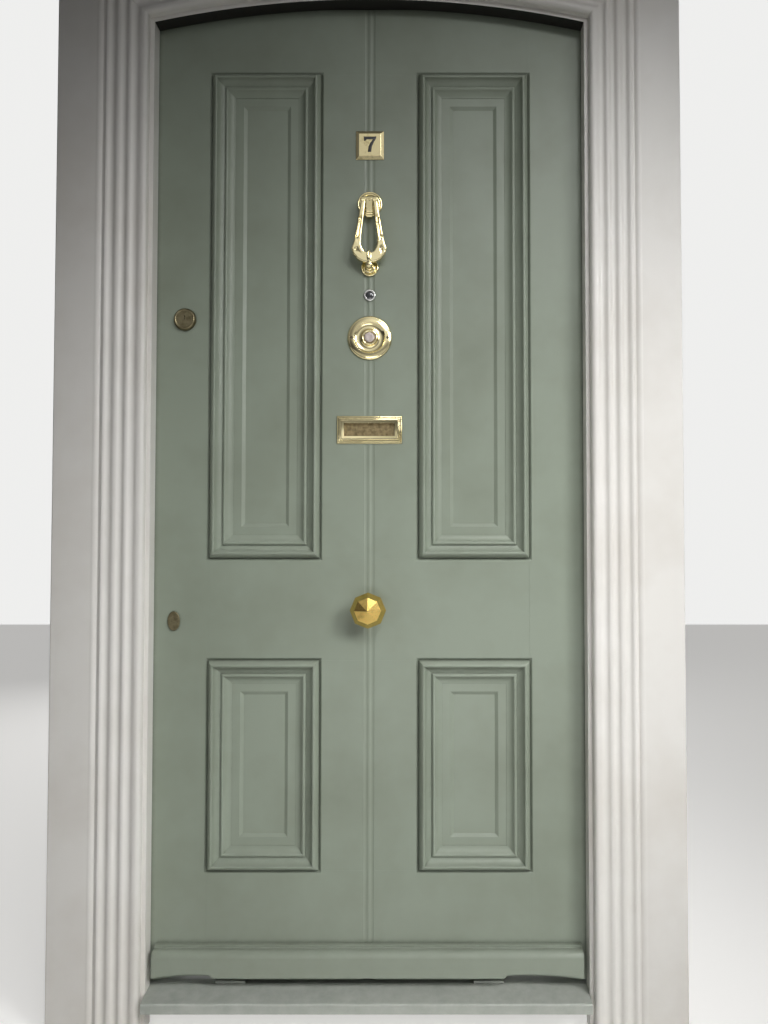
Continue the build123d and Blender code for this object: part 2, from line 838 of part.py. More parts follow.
def make_letter_frame():
    """Moulded letter plate: steps that rise to the opening, and two lugs behind for the rod."""
    steps = ((0, 2.4), (3.5, 4.6), (7, 6.8), (10.5, letter_projection))
    with BuildPart() as frame:
        for inset, top in steps:
            with BuildSketch(facing_out(0, letter_z)):
                Rectangle(letter_width - 2 * inset, letter_tall - 2 * inset)
            extrude(amount=top - 1)
            with BuildSketch(facing_out(0, letter_z, top - 1)):
                Rectangle(letter_width - 2 * inset, letter_tall - 2 * inset)
            extrude(amount=1, taper=45)
        with BuildSketch(facing_out(0, letter_z, letter_projection)):
            Rectangle(letter_opening_width + 2 * letter_bevel, letter_opening_tall + 2 * letter_bevel)
        extrude(amount=-letter_bevel, taper=45, mode=Mode.SUBTRACT)
        with BuildSketch(facing_out(0, letter_z, letter_projection)):
            Rectangle(letter_opening_width, letter_opening_tall)
        extrude(amount=-cut_through, mode=Mode.SUBTRACT)
        for side in (-1, 1):
            with Locations((side * letter_lug_offset, letter_lug_depth / 2, letter_z + flap_rod_above)):
                Box(letter_lug_width, letter_lug_depth, 2 * flap_knuckle_radius + 1)
        letter_rod_hole(flap_rod_radius)
    save(frame, "letter_frame")


def letter_rod_plane():
    return Plane((0, flap_rod_in, letter_z + flap_rod_above), x_dir=(0, 1, 0), z_dir=(1, 0, 0))


def letter_rod_hole(radius):
    with BuildSketch(letter_rod_plane()) as bore:
        Circle(radius)
    extrude(bore.sketch, amount=letter_slot_width, both=True, mode=Mode.SUBTRACT)


def make_letter_rod():
    with BuildPart() as rod:
        with BuildSketch(letter_rod_plane()):
            Circle(flap_rod_radius)
        extrude(amount=letter_lug_offset + letter_lug_width, both=True)
    save(rod, "letter_rod")


def make_letter_flap():
    """Flap behind the opening: a plate that hangs from a tube on the rod."""
    with BuildPart() as flap:
        bottom = letter_z - flap_tall / 2
        top = letter_z + flap_rod_above - 1
        with Locations((0, flap_back_gap + flap_thickness / 2, (bottom + top) / 2)):
            Box(flap_width, flap_thickness, top - bottom)
        with BuildSketch(letter_rod_plane()):
            Circle(flap_knuckle_radius)
        extrude(amount=flap_width / 2, both=True)
        letter_rod_hole(flap_rod_radius + pin_clearance)
    save(flap, "letter_flap")


def octagon(out, radius):
    with BuildSketch(facing_out(0, knob_z, out)) as section:
        RegularPolygon(radius, knob_sides)
    return section.sketch


def make_knob():
    """Faceted octagonal knob with a shallow pyramid front, on a round neck."""
    with BuildPart() as knob:
        with BuildSketch(facing_out(0, knob_z, knob_rose_thickness)):
            Circle(knob_neck_radius)
        extrude(amount=knob_neck)
        sections = [octagon(out, radius).face() for out, radius in knob_rings]
        for low, high in zip(sections, sections[1:]):
            loft([low, high], ruled=True)
        through = knob_rose_thickness + leaf_thickness + knob_nut_washer + knob_nut_height + 1
        with BuildSketch(facing_out(0, knob_z, knob_rose_thickness)) as bolt:
            Circle(knob_bolt_radius)
        extrude(bolt.sketch, amount=-through)
    save(knob, "centre_knob")


def make_knob_rose():
    with BuildPart() as rose:
        with BuildSketch(turning(0, knob_z)):
            with BuildLine():
                Polyline((knob_bolt_radius, 0), (knob_rose_radius, 0), (knob_rose_radius, 1.5))
                ThreePointArc((knob_rose_radius, 1.5), (22, 3.6), (17, knob_rose_thickness))
                Line((17, knob_rose_thickness), (knob_bolt_radius, knob_rose_thickness))
                Line((knob_bolt_radius, knob_rose_thickness), (knob_bolt_radius, 0))
            make_face()
        revolve(axis=outward_axis(0, knob_z))
    save(rose, "knob_rose")


def make_knob_nut():
    with BuildPart() as nut:
        with BuildSketch(facing_out(0, knob_z, -leaf_thickness)):
            Circle(knob_nut_radius)
            Circle(knob_bolt_radius, mode=Mode.SUBTRACT)
        extrude(amount=-knob_nut_washer)
        with BuildSketch(facing_out(0, knob_z, -leaf_thickness - knob_nut_washer)):
            RegularPolygon(0.73 * knob_nut_radius, 6)
            Circle(knob_bolt_radius, mode=Mode.SUBTRACT)
        extrude(amount=-knob_nut_height)
    save(nut, "knob_nut")


def latch_holes():
    """Through hole for the rim latch's cylinder."""
    through_hole(cylinder_x, cylinder_z, cylinder_radius + seat)


def make_cylinder_ring():
    edge = cylinder_ring_radius
    out = cylinder_ring_projection
    with BuildPart() as ring:
        with BuildSketch(turning(cylinder_x, cylinder_z)):
            with BuildLine():
                Polyline((cylinder_radius, 0), (edge, 0), (edge, 2))
                ThreePointArc((edge, 2), (edge - 1.5, out - 2.5), (edge - 4, out))
                Polyline((edge - 4, out), (edge - 6, out - 1.5), (cylinder_radius, out - 1.5))
                Line((cylinder_radius, out - 1.5), (cylinder_radius, 0))
            make_face()
        revolve(axis=outward_axis(cylinder_x, cylinder_z))
    save(ring, "cylinder_ring")


def make_cylinder_body():
    with BuildPart() as body:
        with BuildSketch(facing_out(cylinder_x, cylinder_z, cylinder_ring_projection - 2)):
            Circle(cylinder_radius - 0.05)
            with Locations((0, plug_above)):
                Circle(plug_radius + pin_clearance, mode=Mode.SUBTRACT)
        extrude(amount=-(cylinder_ring_projection - 2 + leaf_thickness))
    save(body, "cylinder_body")


def make_cylinder_plug():
    """Plug with its key slot, and the flat connecting bar that reaches the latch."""
    z = cylinder_z + plug_above
    length = cylinder_ring_projection - 2 + leaf_thickness
    with BuildPart() as plug:
        with BuildSketch(facing_out(cylinder_x, z, cylinder_ring_projection - 2)):
            Circle(plug_radius)
        extrude(amount=-length)
        with BuildSketch(facing_out(cylinder_x, z, cylinder_ring_projection - 2)):
            Rectangle(1.6, 8.5)
            with Locations((0.7, 1.2)):
                Rectangle(1.6, 2)
        extrude(amount=-24, mode=Mode.SUBTRACT)
        with BuildSketch(facing_out(cylinder_x, z, -leaf_thickness)):
            Rectangle(plug_bar_width, plug_bar_thickness)
        extrude(amount=-plug_bar_length)
    save(plug, "cylinder_plug")


def make_latch_case():
    """Rim latch case inside the door: a rounded box with the bolt's channel and knob's bore."""
    left = -half_leaf
    middle_x = left + latch_case_length / 2
    middle_z = cylinder_z
    with BuildPart() as case:
        with Locations((middle_x, leaf_thickness + latch_case_depth / 2, middle_z)):
            Box(latch_case_length, latch_case_depth, latch_case_height)
        fillet(case.faces().sort_by(Axis.Y)[-1].edges(), 3)
        with Locations((left + latch_bolt_length / 2, latch_bolt_y(), middle_z + latch_bolt_above)):
            Box(
                latch_bolt_length + 2 * latch_clearance,
                latch_bolt_thickness + 2 * latch_clearance,
                latch_bolt_width + 2 * latch_clearance,
                mode=Mode.SUBTRACT,
            )
        plug_z = cylinder_z + plug_above
        with BuildSketch(facing_out(cylinder_x, plug_z, -leaf_thickness)) as bar_hole:
            Circle(plug_bar_width)
        extrude(bar_hole.sketch, amount=-plug_bar_length - 1, mode=Mode.SUBTRACT)
        with BuildSketch(facing_out(cylinder_x, plug_z, -leaf_thickness - latch_case_depth)) as bore:
            Circle(turn_shaft_radius + pin_clearance)
        extrude(bore.sketch, amount=turn_shaft_depth + 1, mode=Mode.SUBTRACT)
    save(case, "latch_case")


def latch_bolt_y():
    return leaf_thickness + latch_case_depth / 2


def make_latch_bolt():
    """Spring bolt with its bevelled nose, resting drawn back in the case."""
    z = cylinder_z + latch_bolt_above
    y = latch_bolt_y()
    half = latch_bolt_thickness / 2
    with BuildPart() as bolt:
        with BuildSketch(Plane.XY.offset(z - latch_bolt_width / 2)):
            with BuildLine():
                Polyline(
                    (-half_leaf, y + half - 3),
                    (-half_leaf, y + half),
                    (-half_leaf + latch_bolt_length, y + half),
                    (-half_leaf + latch_bolt_length, y - half),
                    (-half_leaf + latch_bolt_bevel, y - half),
                    (-half_leaf, y + half - 3),
                )
            make_face()
        extrude(amount=latch_bolt_width)
    save(bolt, "latch_bolt")


def make_latch_turn():
    """Inside turn knob on its stub shaft."""
    z = cylinder_z + plug_above
    face_out = -leaf_thickness - latch_case_depth
    with BuildPart() as turn:
        with BuildSketch(facing_out(cylinder_x, z, face_out)):
            Circle(turn_shaft_radius)
        extrude(amount=turn_shaft_depth)
        with BuildSketch(facing_out(cylinder_x, z, face_out)):
            Circle(turn_shaft_radius)
        extrude(amount=-4)
        with BuildSketch(facing_out(cylinder_x, z, face_out - 1)):
            Circle(turn_knob_radius)
        extrude(amount=-5)
        with BuildSketch(facing_out(cylinder_x, z, face_out - 6)):
            SlotOverall(2 * turn_knob_radius - 2, 8)
        extrude(amount=-12)
    save(turn, "latch_turn")


def make_latch_keep():
    """Keep on the inside face of the jamb, hollowed for the bolt."""
    right = -rebate_face
    height = latch_case_height
    with BuildPart() as keep:
        with Locations((right - keep_width / 2, leaf_thickness + latch_case_depth / 2, cylinder_z)):
            Box(keep_width, latch_case_depth, height)
        fillet(keep.faces().sort_by(Axis.Y)[-1].edges(), 2.5)
        pocket = latch_travel + 4
        with Locations((right - pocket / 2, latch_bolt_y(), cylinder_z + latch_bolt_above)):
            Box(pocket, latch_bolt_thickness + 3, latch_bolt_width + 3, mode=Mode.SUBTRACT)
        for x, z in keep_screw_places():
            through_hole(x, z, screw_shank_radius + screw_clearance)
    save(keep, "latch_keep")


def keep_screw_places():
    """The two screws of the keep, in its lower half, below the bolt's pocket."""
    x = -rebate_face - keep_width / 2
    return [(x, cylinder_z - share * latch_case_height) for share in (1 / 8, 1 / 3)]


def lock_pocket():
    """Mortice for the lock case and its forend, and the keyhole through the stile."""
    depth = lock_case_depth + 1
    with Locations((-half_leaf + depth / 2, leaf_middle, keyhole_z)):
        Box(depth, lock_case_thickness + 2 * seat, lock_case_height + 2 * seat, mode=Mode.SUBTRACT)
    with Locations((-half_leaf + forend_thickness / 2, leaf_middle, keyhole_z)):
        Box(forend_thickness, forend_width, forend_height, mode=Mode.SUBTRACT)
    keyhole(cut_through)


def keyhole(depth):
    with BuildSketch(facing_out(keyhole_x, keyhole_z, frame_front)) as hole:
        Circle(keyhole_radius)
        with Locations((0, -keyhole_slot / 2)):
            Rectangle(keyhole_radius, keyhole_slot)
    extrude(hole.sketch, amount=-depth, mode=Mode.SUBTRACT)


def make_lock_case():
    left = -half_leaf
    with BuildPart() as case:
        with Locations((left + lock_case_depth / 2, leaf_middle, keyhole_z)):
            Box(lock_case_depth, lock_case_thickness, lock_case_height)
        with Locations((left + forend_thickness / 2, leaf_middle, keyhole_z)):
            Box(forend_thickness, forend_width, forend_height)
        with Locations((left + deadbolt_length / 2, leaf_middle, deadbolt_z())):
            Box(
                deadbolt_length + 2 * deadbolt_clearance,
                deadbolt_thickness + 2 * deadbolt_clearance,
                deadbolt_height + 2 * deadbolt_clearance,
                mode=Mode.SUBTRACT,
            )
        keyhole(cut_through)
    save(case, "mortice_case")


def deadbolt_z():
    return keyhole_z + deadbolt_above


def make_deadbolt():
    with BuildPart() as bolt:
        with Locations((-half_leaf + deadbolt_length / 2, leaf_middle, deadbolt_z())):
            Box(deadbolt_length, deadbolt_thickness, deadbolt_height)
    save(bolt, "mortice_bolt")


def make_strike_plate():
    """Strike plate let into the jamb, with a box behind it for the dead bolt."""
    x = -rebate_face
    inside = deadbolt_travel + 2.5
    with BuildPart() as strike:
        with Locations((x - strike_plate_thickness / 2, leaf_middle, keyhole_z)):
            Box(strike_plate_thickness, forend_width, forend_height)
        with Locations((x - strike_box_depth / 2, leaf_middle, deadbolt_z())):
            Box(strike_box_depth, deadbolt_thickness + 5, deadbolt_height + 5)
        with Locations((x - inside / 2, leaf_middle, deadbolt_z())):
            Box(inside, deadbolt_thickness + 2, deadbolt_height + 2, mode=Mode.SUBTRACT)
    save(strike, "strike_plate")


def make_keyhole_plates():
    """Keyhole plates on both faces; the outer one carries the riveted pin of the cover."""
    rivet = escutcheon_thickness + seat + cover_thickness + seat
    with BuildPart() as plates:
        for out in (escutcheon_thickness, -leaf_thickness):
            with BuildSketch(facing_out(keyhole_x, keyhole_z, out)) as oval:
                Ellipse(escutcheon_width / 2 - 1, escutcheon_tall / 2 - 1)
            extrude(oval.sketch, amount=-escutcheon_thickness)
        keyhole(cut_through)
        with BuildSketch(facing_out(keyhole_x, keyhole_z + cover_pin_above)) as shaft:
            Circle(cover_pin_radius)
        extrude(shaft.sketch, amount=rivet + 0.5)
        with BuildSketch(facing_out(keyhole_x, keyhole_z + cover_pin_above, rivet)) as head:
            Circle(2 * cover_pin_radius)
        extrude(head.sketch, amount=1)
    save(plates, "keyhole_plates")


def cover_pin_bore(radius):
    with BuildSketch(facing_out(keyhole_x, keyhole_z + cover_pin_above, frame_front)) as bore:
        Circle(radius)
    extrude(bore.sketch, amount=-frame_front, mode=Mode.SUBTRACT)


def make_keyhole_cover():
    """Domed oval cover, bored for its pin near the top."""
    low = escutcheon_thickness + seat
    with BuildPart() as cover:
        with BuildSketch(facing_out(keyhole_x, keyhole_z, low)):
            Ellipse(escutcheon_width / 2, escutcheon_tall / 2)
        extrude(amount=cover_thickness)
        chamfer(cover.faces().sort_by(Axis.Y)[0].edges(), 1)
        cover_pin_bore(cover_pin_radius + pin_clearance)
    save(cover, "keyhole_cover")


def hinge_middles():
    """Heights of the three hinges: one in the middle of the leaf, two in from its ends."""
    middle = (leaf_foot + leaf_top) / 2
    return [leaf_foot + hinge_inset, middle, leaf_top - hinge_inset]


def leaf_hinge_rebates():
    for z in hinge_middles():
        with Locations((half_leaf - hinge_leaf_thickness / 2, leaf_thickness - hinge_leaf_width / 2, z)):
            Box(hinge_leaf_thickness, hinge_leaf_width, hinge_length, mode=Mode.SUBTRACT)
        for y, screw_z in hinge_screw_places(z):
            with Locations((half_leaf - screw_length / 2, y, screw_z)):
                Cylinder(
                    screw_shank_radius + screw_clearance,
                    screw_length + 2 * seat,
                    rotation=(0, 90, 0),
                    mode=Mode.SUBTRACT,
                )


def jamb_hinge_rebates():
    for z in hinge_middles():
        with Locations((rebate_face + hinge_leaf_thickness / 2, leaf_thickness - hinge_leaf_width / 2, z)):
            Box(hinge_leaf_thickness, hinge_leaf_width, hinge_length, mode=Mode.SUBTRACT)
        for y, screw_z in hinge_screw_places(z):
            with Locations((rebate_face + screw_length / 2, y, screw_z)):
                Cylinder(
                    screw_shank_radius + screw_clearance,
                    screw_length + 2 * seat,
                    rotation=(0, 90, 0),
                    mode=Mode.SUBTRACT,
                )


def hinge_screw_places(z):
    """Two rows of two screws in each hinge leaf."""
    rows = (hinge_screw_margin, hinge_screw_margin + hinge_screw_row_spacing)
    return [(leaf_thickness - row, z + step * hinge_screw_spacing / 2) for row in rows for step in (-1, 1)]


def hinge_leaf(part_side):
    """Adds the three hinge leaves of one side, with their share of the knuckles."""
    knuckle = hinge_length / hinge_knuckles
    for z in hinge_middles():
        face = half_leaf if part_side < 0 else rebate_face
        middle_x = face + part_side * hinge_leaf_thickness / 2
        with Locations((middle_x, leaf_thickness - hinge_leaf_width / 2, z)):
            Box(hinge_leaf_thickness, hinge_leaf_width, hinge_length)
        for index in range(hinge_knuckles):
            if index % 2 == (0 if part_side < 0 else 1):
                centre_z = z + (index - (hinge_knuckles - 1) / 2) * knuckle
                reach = hinge_y - leaf_thickness
                with Locations((middle_x, leaf_thickness + reach / 2, centre_z)):
                    Box(hinge_leaf_thickness, reach, knuckle - hinge_knuckle_gap)
                with Locations((hinge_x, hinge_y, centre_z)):
                    Cylinder(hinge_knuckle_radius, knuckle - hinge_knuckle_gap)


def make_hinges():
    bore = hinge_pin_radius + pin_clearance
    for name, part_side in (("hinge_door_leaves", -1), ("hinge_frame_leaves", 1)):
        with BuildPart() as leaves:
            hinge_leaf(part_side)
            for z in hinge_middles():
                with Locations((hinge_x, hinge_y, z)):
                    Cylinder(bore, hinge_length + 2, mode=Mode.SUBTRACT)
                for y, screw_z in hinge_screw_places(z):
                    face = half_leaf if part_side < 0 else rebate_face
                    with Locations((face, y, screw_z)):
                        Cylinder(
                            screw_shank_radius + screw_clearance,
                            4 * hinge_leaf_thickness,
                            rotation=(0, 90, 0),
                            mode=Mode.SUBTRACT,
                        )
        save(leaves, name)
    with BuildPart() as pins:
        for z in hinge_middles():
            with Locations((hinge_x, hinge_y, z)):
                Cylinder(hinge_pin_radius, hinge_length + 1)
            for end in (-1, 1):
                with Locations((hinge_x, hinge_y, z + end * (hinge_length / 2 + 2))):
                    Cylinder(hinge_knuckle_radius - 1, 3.4)
    save(pins, "hinge_pins")


def hinge_screws(part_side):
    """Adds the screws of the three hinge leaves on one side."""
    face = half_leaf if part_side < 0 else rebate_face
    for z in hinge_middles():
        for y, screw_z in hinge_screw_places(z):
            with Locations((face + part_side * screw_length / 2, y, screw_z)):
                Cylinder(screw_shank_radius, screw_length, rotation=(0, 90, 0))


def make_screws():
    """Screws in the stile, and screws in the jambs with the two of the latch keep."""
    with BuildPart() as leaf_screws:
        hinge_screws(-1)
    save(leaf_screws, "leaf_screws")
    with BuildPart() as frame_screws:
        hinge_screws(1)
        for x, z in keep_screw_places():
            front = -leaf_thickness - latch_case_depth
            with BuildSketch(facing_out(x, z, front)):
                Circle(screw_shank_radius)
            extrude(amount=latch_case_depth + keep_screw_reach)
            with BuildSketch(facing_out(x, z, front)):
                Circle(screw_head_radius)
            extrude(amount=-keep_screw_head)
    save(frame_screws, "frame_screws")


def jamb_fixing_heights():
    return [fixing_middle + step * fixing_spacing for step in (-1, 0, 1)]


def jamb_fixing_holes(side):
    for z in jamb_fixing_heights():
        with Locations((side * (jamb_back + rebate_face) / 2, leaf_middle, z)):
            Cylinder(fixing_radius, jamb_width, rotation=(0, 90, 0), mode=Mode.SUBTRACT)


def make_jambs():
    """Each jamb is a square post with a stop planted on it in front of the leaf."""
    jamb_middle = (rebate_top - foot_drop) / 2
    stop_edge = rebate_face - stop_joint
    for name, side in (("jamb_left", -1), ("jamb_right", 1)):
        post_x = side * (rebate_face + jamb_back) / 2
        stop_x = side * (stop_face + stop_edge) / 2
        with BuildPart() as jamb:
            with Locations((post_x, (leaf_thickness - frame_front) / 2, jamb_middle)):
                Box(jamb_back - rebate_face, leaf_thickness + frame_front, rebate_top + foot_drop)
            with Locations((stop_x, -(frame_front + weather_gap) / 2, jamb_middle)):
                Box(stop_edge - stop_face, frame_front - weather_gap, rebate_top + foot_drop)
            jamb_fixing_holes(side)
            if side > 0:
                jamb_hinge_rebates()
            else:
                strike_pocket()
                for x, z in keep_screw_places():
                    with BuildSketch(facing_out(x, z, -leaf_thickness)) as pilot:
                        Circle(screw_shank_radius + screw_clearance)
                    extrude(pilot.sketch, amount=keep_screw_reach + 2, mode=Mode.SUBTRACT)
        save(jamb, name)


def strike_pocket():
    x = -rebate_face
    with Locations((x - strike_plate_thickness / 2, leaf_middle, keyhole_z)):
        Box(strike_plate_thickness, forend_width, forend_height, mode=Mode.SUBTRACT)
    with Locations((x - strike_box_depth / 2, leaf_middle, deadbolt_z())):
        Box(strike_box_depth, deadbolt_thickness + 5, deadbolt_height + 5, mode=Mode.SUBTRACT)


def make_head():
    """Head of the frame: square rebate behind, segmental stop in front."""
    with BuildPart() as head:
        with Locations((0, (leaf_thickness - frame_front) / 2, rebate_top + head_height / 2)):
            Box(2 * jamb_back, leaf_thickness + frame_front, head_height)
        with BuildSketch(facing_out(0, 0, frame_front)):
            with BuildLine():
                ThreePointArc((-stop_face, arch_spring), (0, arch_crown), (stop_face, arch_spring))
                Polyline(
                    (stop_face, arch_spring),
                    (stop_face, rebate_top),
                    (-stop_face, rebate_top),
                    (-stop_face, arch_spring),
                )
            make_face()
        extrude(amount=-(frame_front - weather_gap))
    save(head, "frame_head")


def casing_section():
    """Section of the casing: X runs out from its inner edge, Y is its height off the frame."""
    top = casing_thickness
    low = casing_thickness - flute_depth
    middle = (top + low) / 2
    ridges = (10, 36.5, 59.5, 84)
    flutes = (25.5, 47.5, 72.5)
    quirk = 89
    with BuildLine() as outline:
        Line((0, 0), (0, low - 2))
        ThreePointArc((0, low - 2), (ridges[0] - 6, top - 1.2), (ridges[0], top))
        last = (ridges[0], top)
        for flute, ridge in zip(flutes, ridges[1:]):
            fall = ((last[0] + flute) / 2, middle)
            climb = ((flute + ridge) / 2, middle)
            TangentArc(last, fall, tangent=(1, 0))
            ThreePointArc(fall, (flute, low), climb)
            TangentArc((ridge, top), climb, tangent=(-1, 0))
            last = (ridge, top)
        Line(last, (quirk - 1, top - 2))
        Line((quirk - 1, top - 2), (quirk, low - 1))
        Line((quirk, low - 1), (quirk + 3.5, low - 1))
        ThreePointArc((quirk + 3.5, low - 1), (quirk + 7, casing_land + 3), (quirk + 16, casing_land + 4))
        Line((quirk + 16, casing_land + 4), (casing_width - 3, casing_land + 3))
        corner = (casing_width - 0.8, casing_land + 2)
        ThreePointArc((casing_width - 3, casing_land + 3), corner, (casing_width, casing_land))
        Polyline((casing_width, casing_land), (casing_width, 0), (0, 0))
    return outline.line


def chorded(outline, chords):
    """The same outline with each of its arcs drawn as short chords."""
    with BuildLine() as plain:
        for edge in outline.edges():
            count = 1 if edge.geom_type == GeomType.LINE else chords
            for index in range(count):
                Line(edge.position_at(index / count), edge.position_at((index + 1) / count))
    return plain.line


def outer_arch_height(x, radius):
    return arch_centre + sqrt(radius**2 - x**2)


def casing_mitre(side):
    """The plane of the mitre between an upright casing and the segmental one."""
    inner_height = outer_arch_height(casing_inner, arch_radius + casing_fillet)
    outer_height = outer_arch_height(casing_outer, arch_radius + casing_fillet + casing_width)
    run = Vector(side * casing_width, 0, outer_height - inner_height)
    return Plane((side * casing_inner, 0, inner_height), x_dir=run, z_dir=run.cross(Vector(0, side, 0)))


def make_casings():
    """Two upright casings and the segmental one over them."""
    tall = outer_arch_height(casing_outer, arch_radius + casing_fillet + casing_width) + casing_fillet
    for name, side in (("casing_left", -1), ("casing_right", 1)):
        with BuildPart() as casing:
            inner_foot = (side * casing_inner, -frame_front, -foot_drop)
            foot = Plane(inner_foot, x_dir=(side, 0, 0), z_dir=(0, 0, -side))
            with BuildSketch(foot):
                add(casing_section())
                make_face()
            extrude(amount=-side * (tall + foot_drop))
            split(bisect_by=casing_mitre(side), keep=Keep.BOTTOM)
        save(casing, name)
    inner_radius = arch_radius + casing_fillet
    half_angle = asin(casing_outer / inner_radius) + radians(2)
    radius_direction = Vector(-sin(half_angle), 0, cos(half_angle))
    start = Vector(0, -frame_front, arch_centre) + radius_direction * inner_radius
    with BuildPart() as casing:
        radial = Plane(start, x_dir=radius_direction, z_dir=(cos(half_angle), 0, sin(half_angle)))
        with BuildSketch(radial):
            add(chorded(casing_section(), casing_arc_chords))
            make_face()
        revolve(axis=Axis((0, 0, arch_centre), (0, 1, 0)), revolution_arc=2 * degrees(half_angle))
        for side in (-1, 1):
            split(bisect_by=casing_mitre(side), keep=Keep.TOP)
    save(casing, "casing_head")


def make_sill():
    """Sill board between the jambs, weathered and nosed, with its back part under the leaf."""
    with BuildPart() as sill:
        with BuildSketch(across(stop_face)):
            with BuildLine():
                Polyline(
                    (-leaf_thickness, 0),
                    (sill_projection, 0),
                    (sill_projection, sill_front - sill_nosing),
                )
                ThreePointArc(
                    (sill_projection, sill_front - sill_nosing),
                    (sill_projection - 1.2, sill_front - 1.2),
                    (sill_projection - sill_nosing, sill_front),
                )
                Polyline(
                    (sill_projection - sill_nosing, sill_front),
                    (0, sill_back),
                    (-leaf_thickness, sill_back),
                    (-leaf_thickness, 0),
                )
            make_face()
            with Locations((sill_projection - sill_drip_inset, 0)):
                Circle(sill_drip_radius, mode=Mode.SUBTRACT)
        extrude(amount=2 * stop_face)
        for side in (-1, 1):
            horn_x = side * (stop_face + rebate_face) / 2
            with Locations((horn_x, (leaf_thickness - weather_gap) / 2, sill_back / 2)):
                Box(rebate_face - stop_face, leaf_thickness + weather_gap, sill_back)
    save(sill, "sill")
    with BuildPart() as pads:
        for x in sill_pad_centres:
            with Locations((x, sill_pad_depth / 2, sill_back + sill_pad_height / 2)):
                Box(sill_pad_length, sill_pad_depth, sill_pad_height)
    save(pads, "sill_pads")


os.makedirs("parts", exist_ok=True)

make_jambs()
make_head()
make_casings()
make_sill()
make_stiles()
make_rails()
make_muntins()
make_panels()
make_mouldings()
make_centre_bead()
make_weatherboard()
make_number_plate()
make_knocker_rose()
make_knocker_pin()
make_knocker_loop()
make_knocker_strike()
make_viewer()
make_bell_rose()
make_bell_button()
make_bell_contact()
make_bell_screws()
make_letter_frame()
make_letter_rod()
make_letter_flap()
make_knob()
make_knob_rose()
make_knob_nut()
make_cylinder_ring()
make_cylinder_body()
make_cylinder_plug()
make_latch_case()
make_latch_bolt()
make_latch_turn()
make_latch_keep()
make_lock_case()
make_deadbolt()
make_strike_plate()
make_keyhole_plates()
make_keyhole_cover()
make_hinges()
make_screws()
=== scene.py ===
import json
import math

import bmesh
import bpy
import numpy as np
from mathutils import Matrix, Vector


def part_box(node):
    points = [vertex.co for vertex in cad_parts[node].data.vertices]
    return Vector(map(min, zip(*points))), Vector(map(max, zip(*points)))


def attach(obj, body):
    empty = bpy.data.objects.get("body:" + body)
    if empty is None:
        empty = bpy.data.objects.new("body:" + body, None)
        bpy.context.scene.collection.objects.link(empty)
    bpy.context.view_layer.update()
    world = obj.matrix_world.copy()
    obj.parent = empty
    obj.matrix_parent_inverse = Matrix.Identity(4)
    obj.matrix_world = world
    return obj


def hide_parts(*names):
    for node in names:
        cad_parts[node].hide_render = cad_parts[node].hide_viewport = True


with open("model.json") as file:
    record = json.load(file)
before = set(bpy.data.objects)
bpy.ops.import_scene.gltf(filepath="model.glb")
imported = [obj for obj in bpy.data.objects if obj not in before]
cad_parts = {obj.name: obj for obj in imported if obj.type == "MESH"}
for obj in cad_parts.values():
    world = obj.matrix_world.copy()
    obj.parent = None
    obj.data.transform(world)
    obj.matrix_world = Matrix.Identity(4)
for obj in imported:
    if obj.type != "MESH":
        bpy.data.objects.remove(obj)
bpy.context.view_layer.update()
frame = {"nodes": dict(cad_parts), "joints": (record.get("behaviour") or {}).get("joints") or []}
nodes = frame["nodes"]
print("door frame loaded:", len(nodes), "CAD pieces")


def addNode(tree, kind, settings=None, inputs=None):
    node = tree.nodes.new(kind)
    for key, value in (settings or {}).items():
        setattr(node, key, value)
    for key, value in (inputs or {}).items():
        node.inputs[key].default_value = value
    return node


# camera, lamps and floor

cameraSetup = {
    "place": (0.106, -1.610, 0.948),   # metres, in front of the leaf's outside face
    "tiltUp": 1.7,                     # degrees
    "focalPixels": 770,                # for a frame 1024 pixels tall
    "frameTall": 1024,
    "contentRight": 36,                # pixels that the door is moved to the right by
    "sensorTall": 36,                  # millimetres
    "nearest": 0.05,
}

lampSetup = {
    "key": {"place": (2.1, -2.1, 2.2), "aim": (0.1, 0.0, 0.45), "wide": 1.0, "tall": 1.0,
            "watts": 7.1, "spread": 54, "mirrored": True},
    "fill": {"place": (-1.5, -2.1, 1.2), "aim": (0.52, 0.0, 0.95), "wide": 0.7, "tall": 0.9,
             "watts": 0.85, "spread": 44, "mirrored": False},
    "front": {"place": (0.85, -2.3, 2.9), "aim": (0.15, 0.0, 0.8), "wide": 0.9, "tall": 0.6,
              "watts": 3.0, "spread": 52, "mirrored": True},
    "low": {"place": (0.3, -2.2, 0.0), "aim": (0.1, 0.0, 0.5), "wide": 1.6, "tall": 0.5,
            "watts": 5.4, "spread": 110, "mirrored": True},
    "inside": {"place": (-1.2, 3.2, 2.4), "aim": (0.0, 0.0, 1.0), "wide": 2.2, "tall": 2.2,
               "watts": 40, "spread": 180, "mirrored": True},
}

roomSetup = {                          # brightness at places from straight down or left, 0, to 1
    "paintStrength": 0.03,             # how much of the room's light falls on the paint
    "metalStrength": 0.95,             # how bright that room looks in metal and glass
    "roomByHeight": [(0.0, 0.20), (0.24, 0.34), (0.33, 0.72), (0.40, 0.72), (0.48, 0.26), (0.55, 0.40),
                     (0.60, 0.95), (0.80, 1.0), (0.91, 0.8), (0.96, 0.16)],
    "roomBySide": [(0.0, 0.12), (0.25, 0.24), (0.40, 0.62), (0.5, 1.0), (0.78, 0.95), (1.0, 0.6)],
    "background": (0.86, 0.86, 0.85, 1),
}

floorSetup = {
    "size": 14.0, "height": -0.0502, "colour": (0.80, 0.79, 0.77, 1), "roughness": 0.8,
    "lift": 0.55,                      # how far it glows where it is seen or mirrored
}


def aimAt(thing, target):
    direction = Vector(target) - thing.location
    thing.rotation_euler = direction.to_track_quat("-Z", "Y").to_euler()


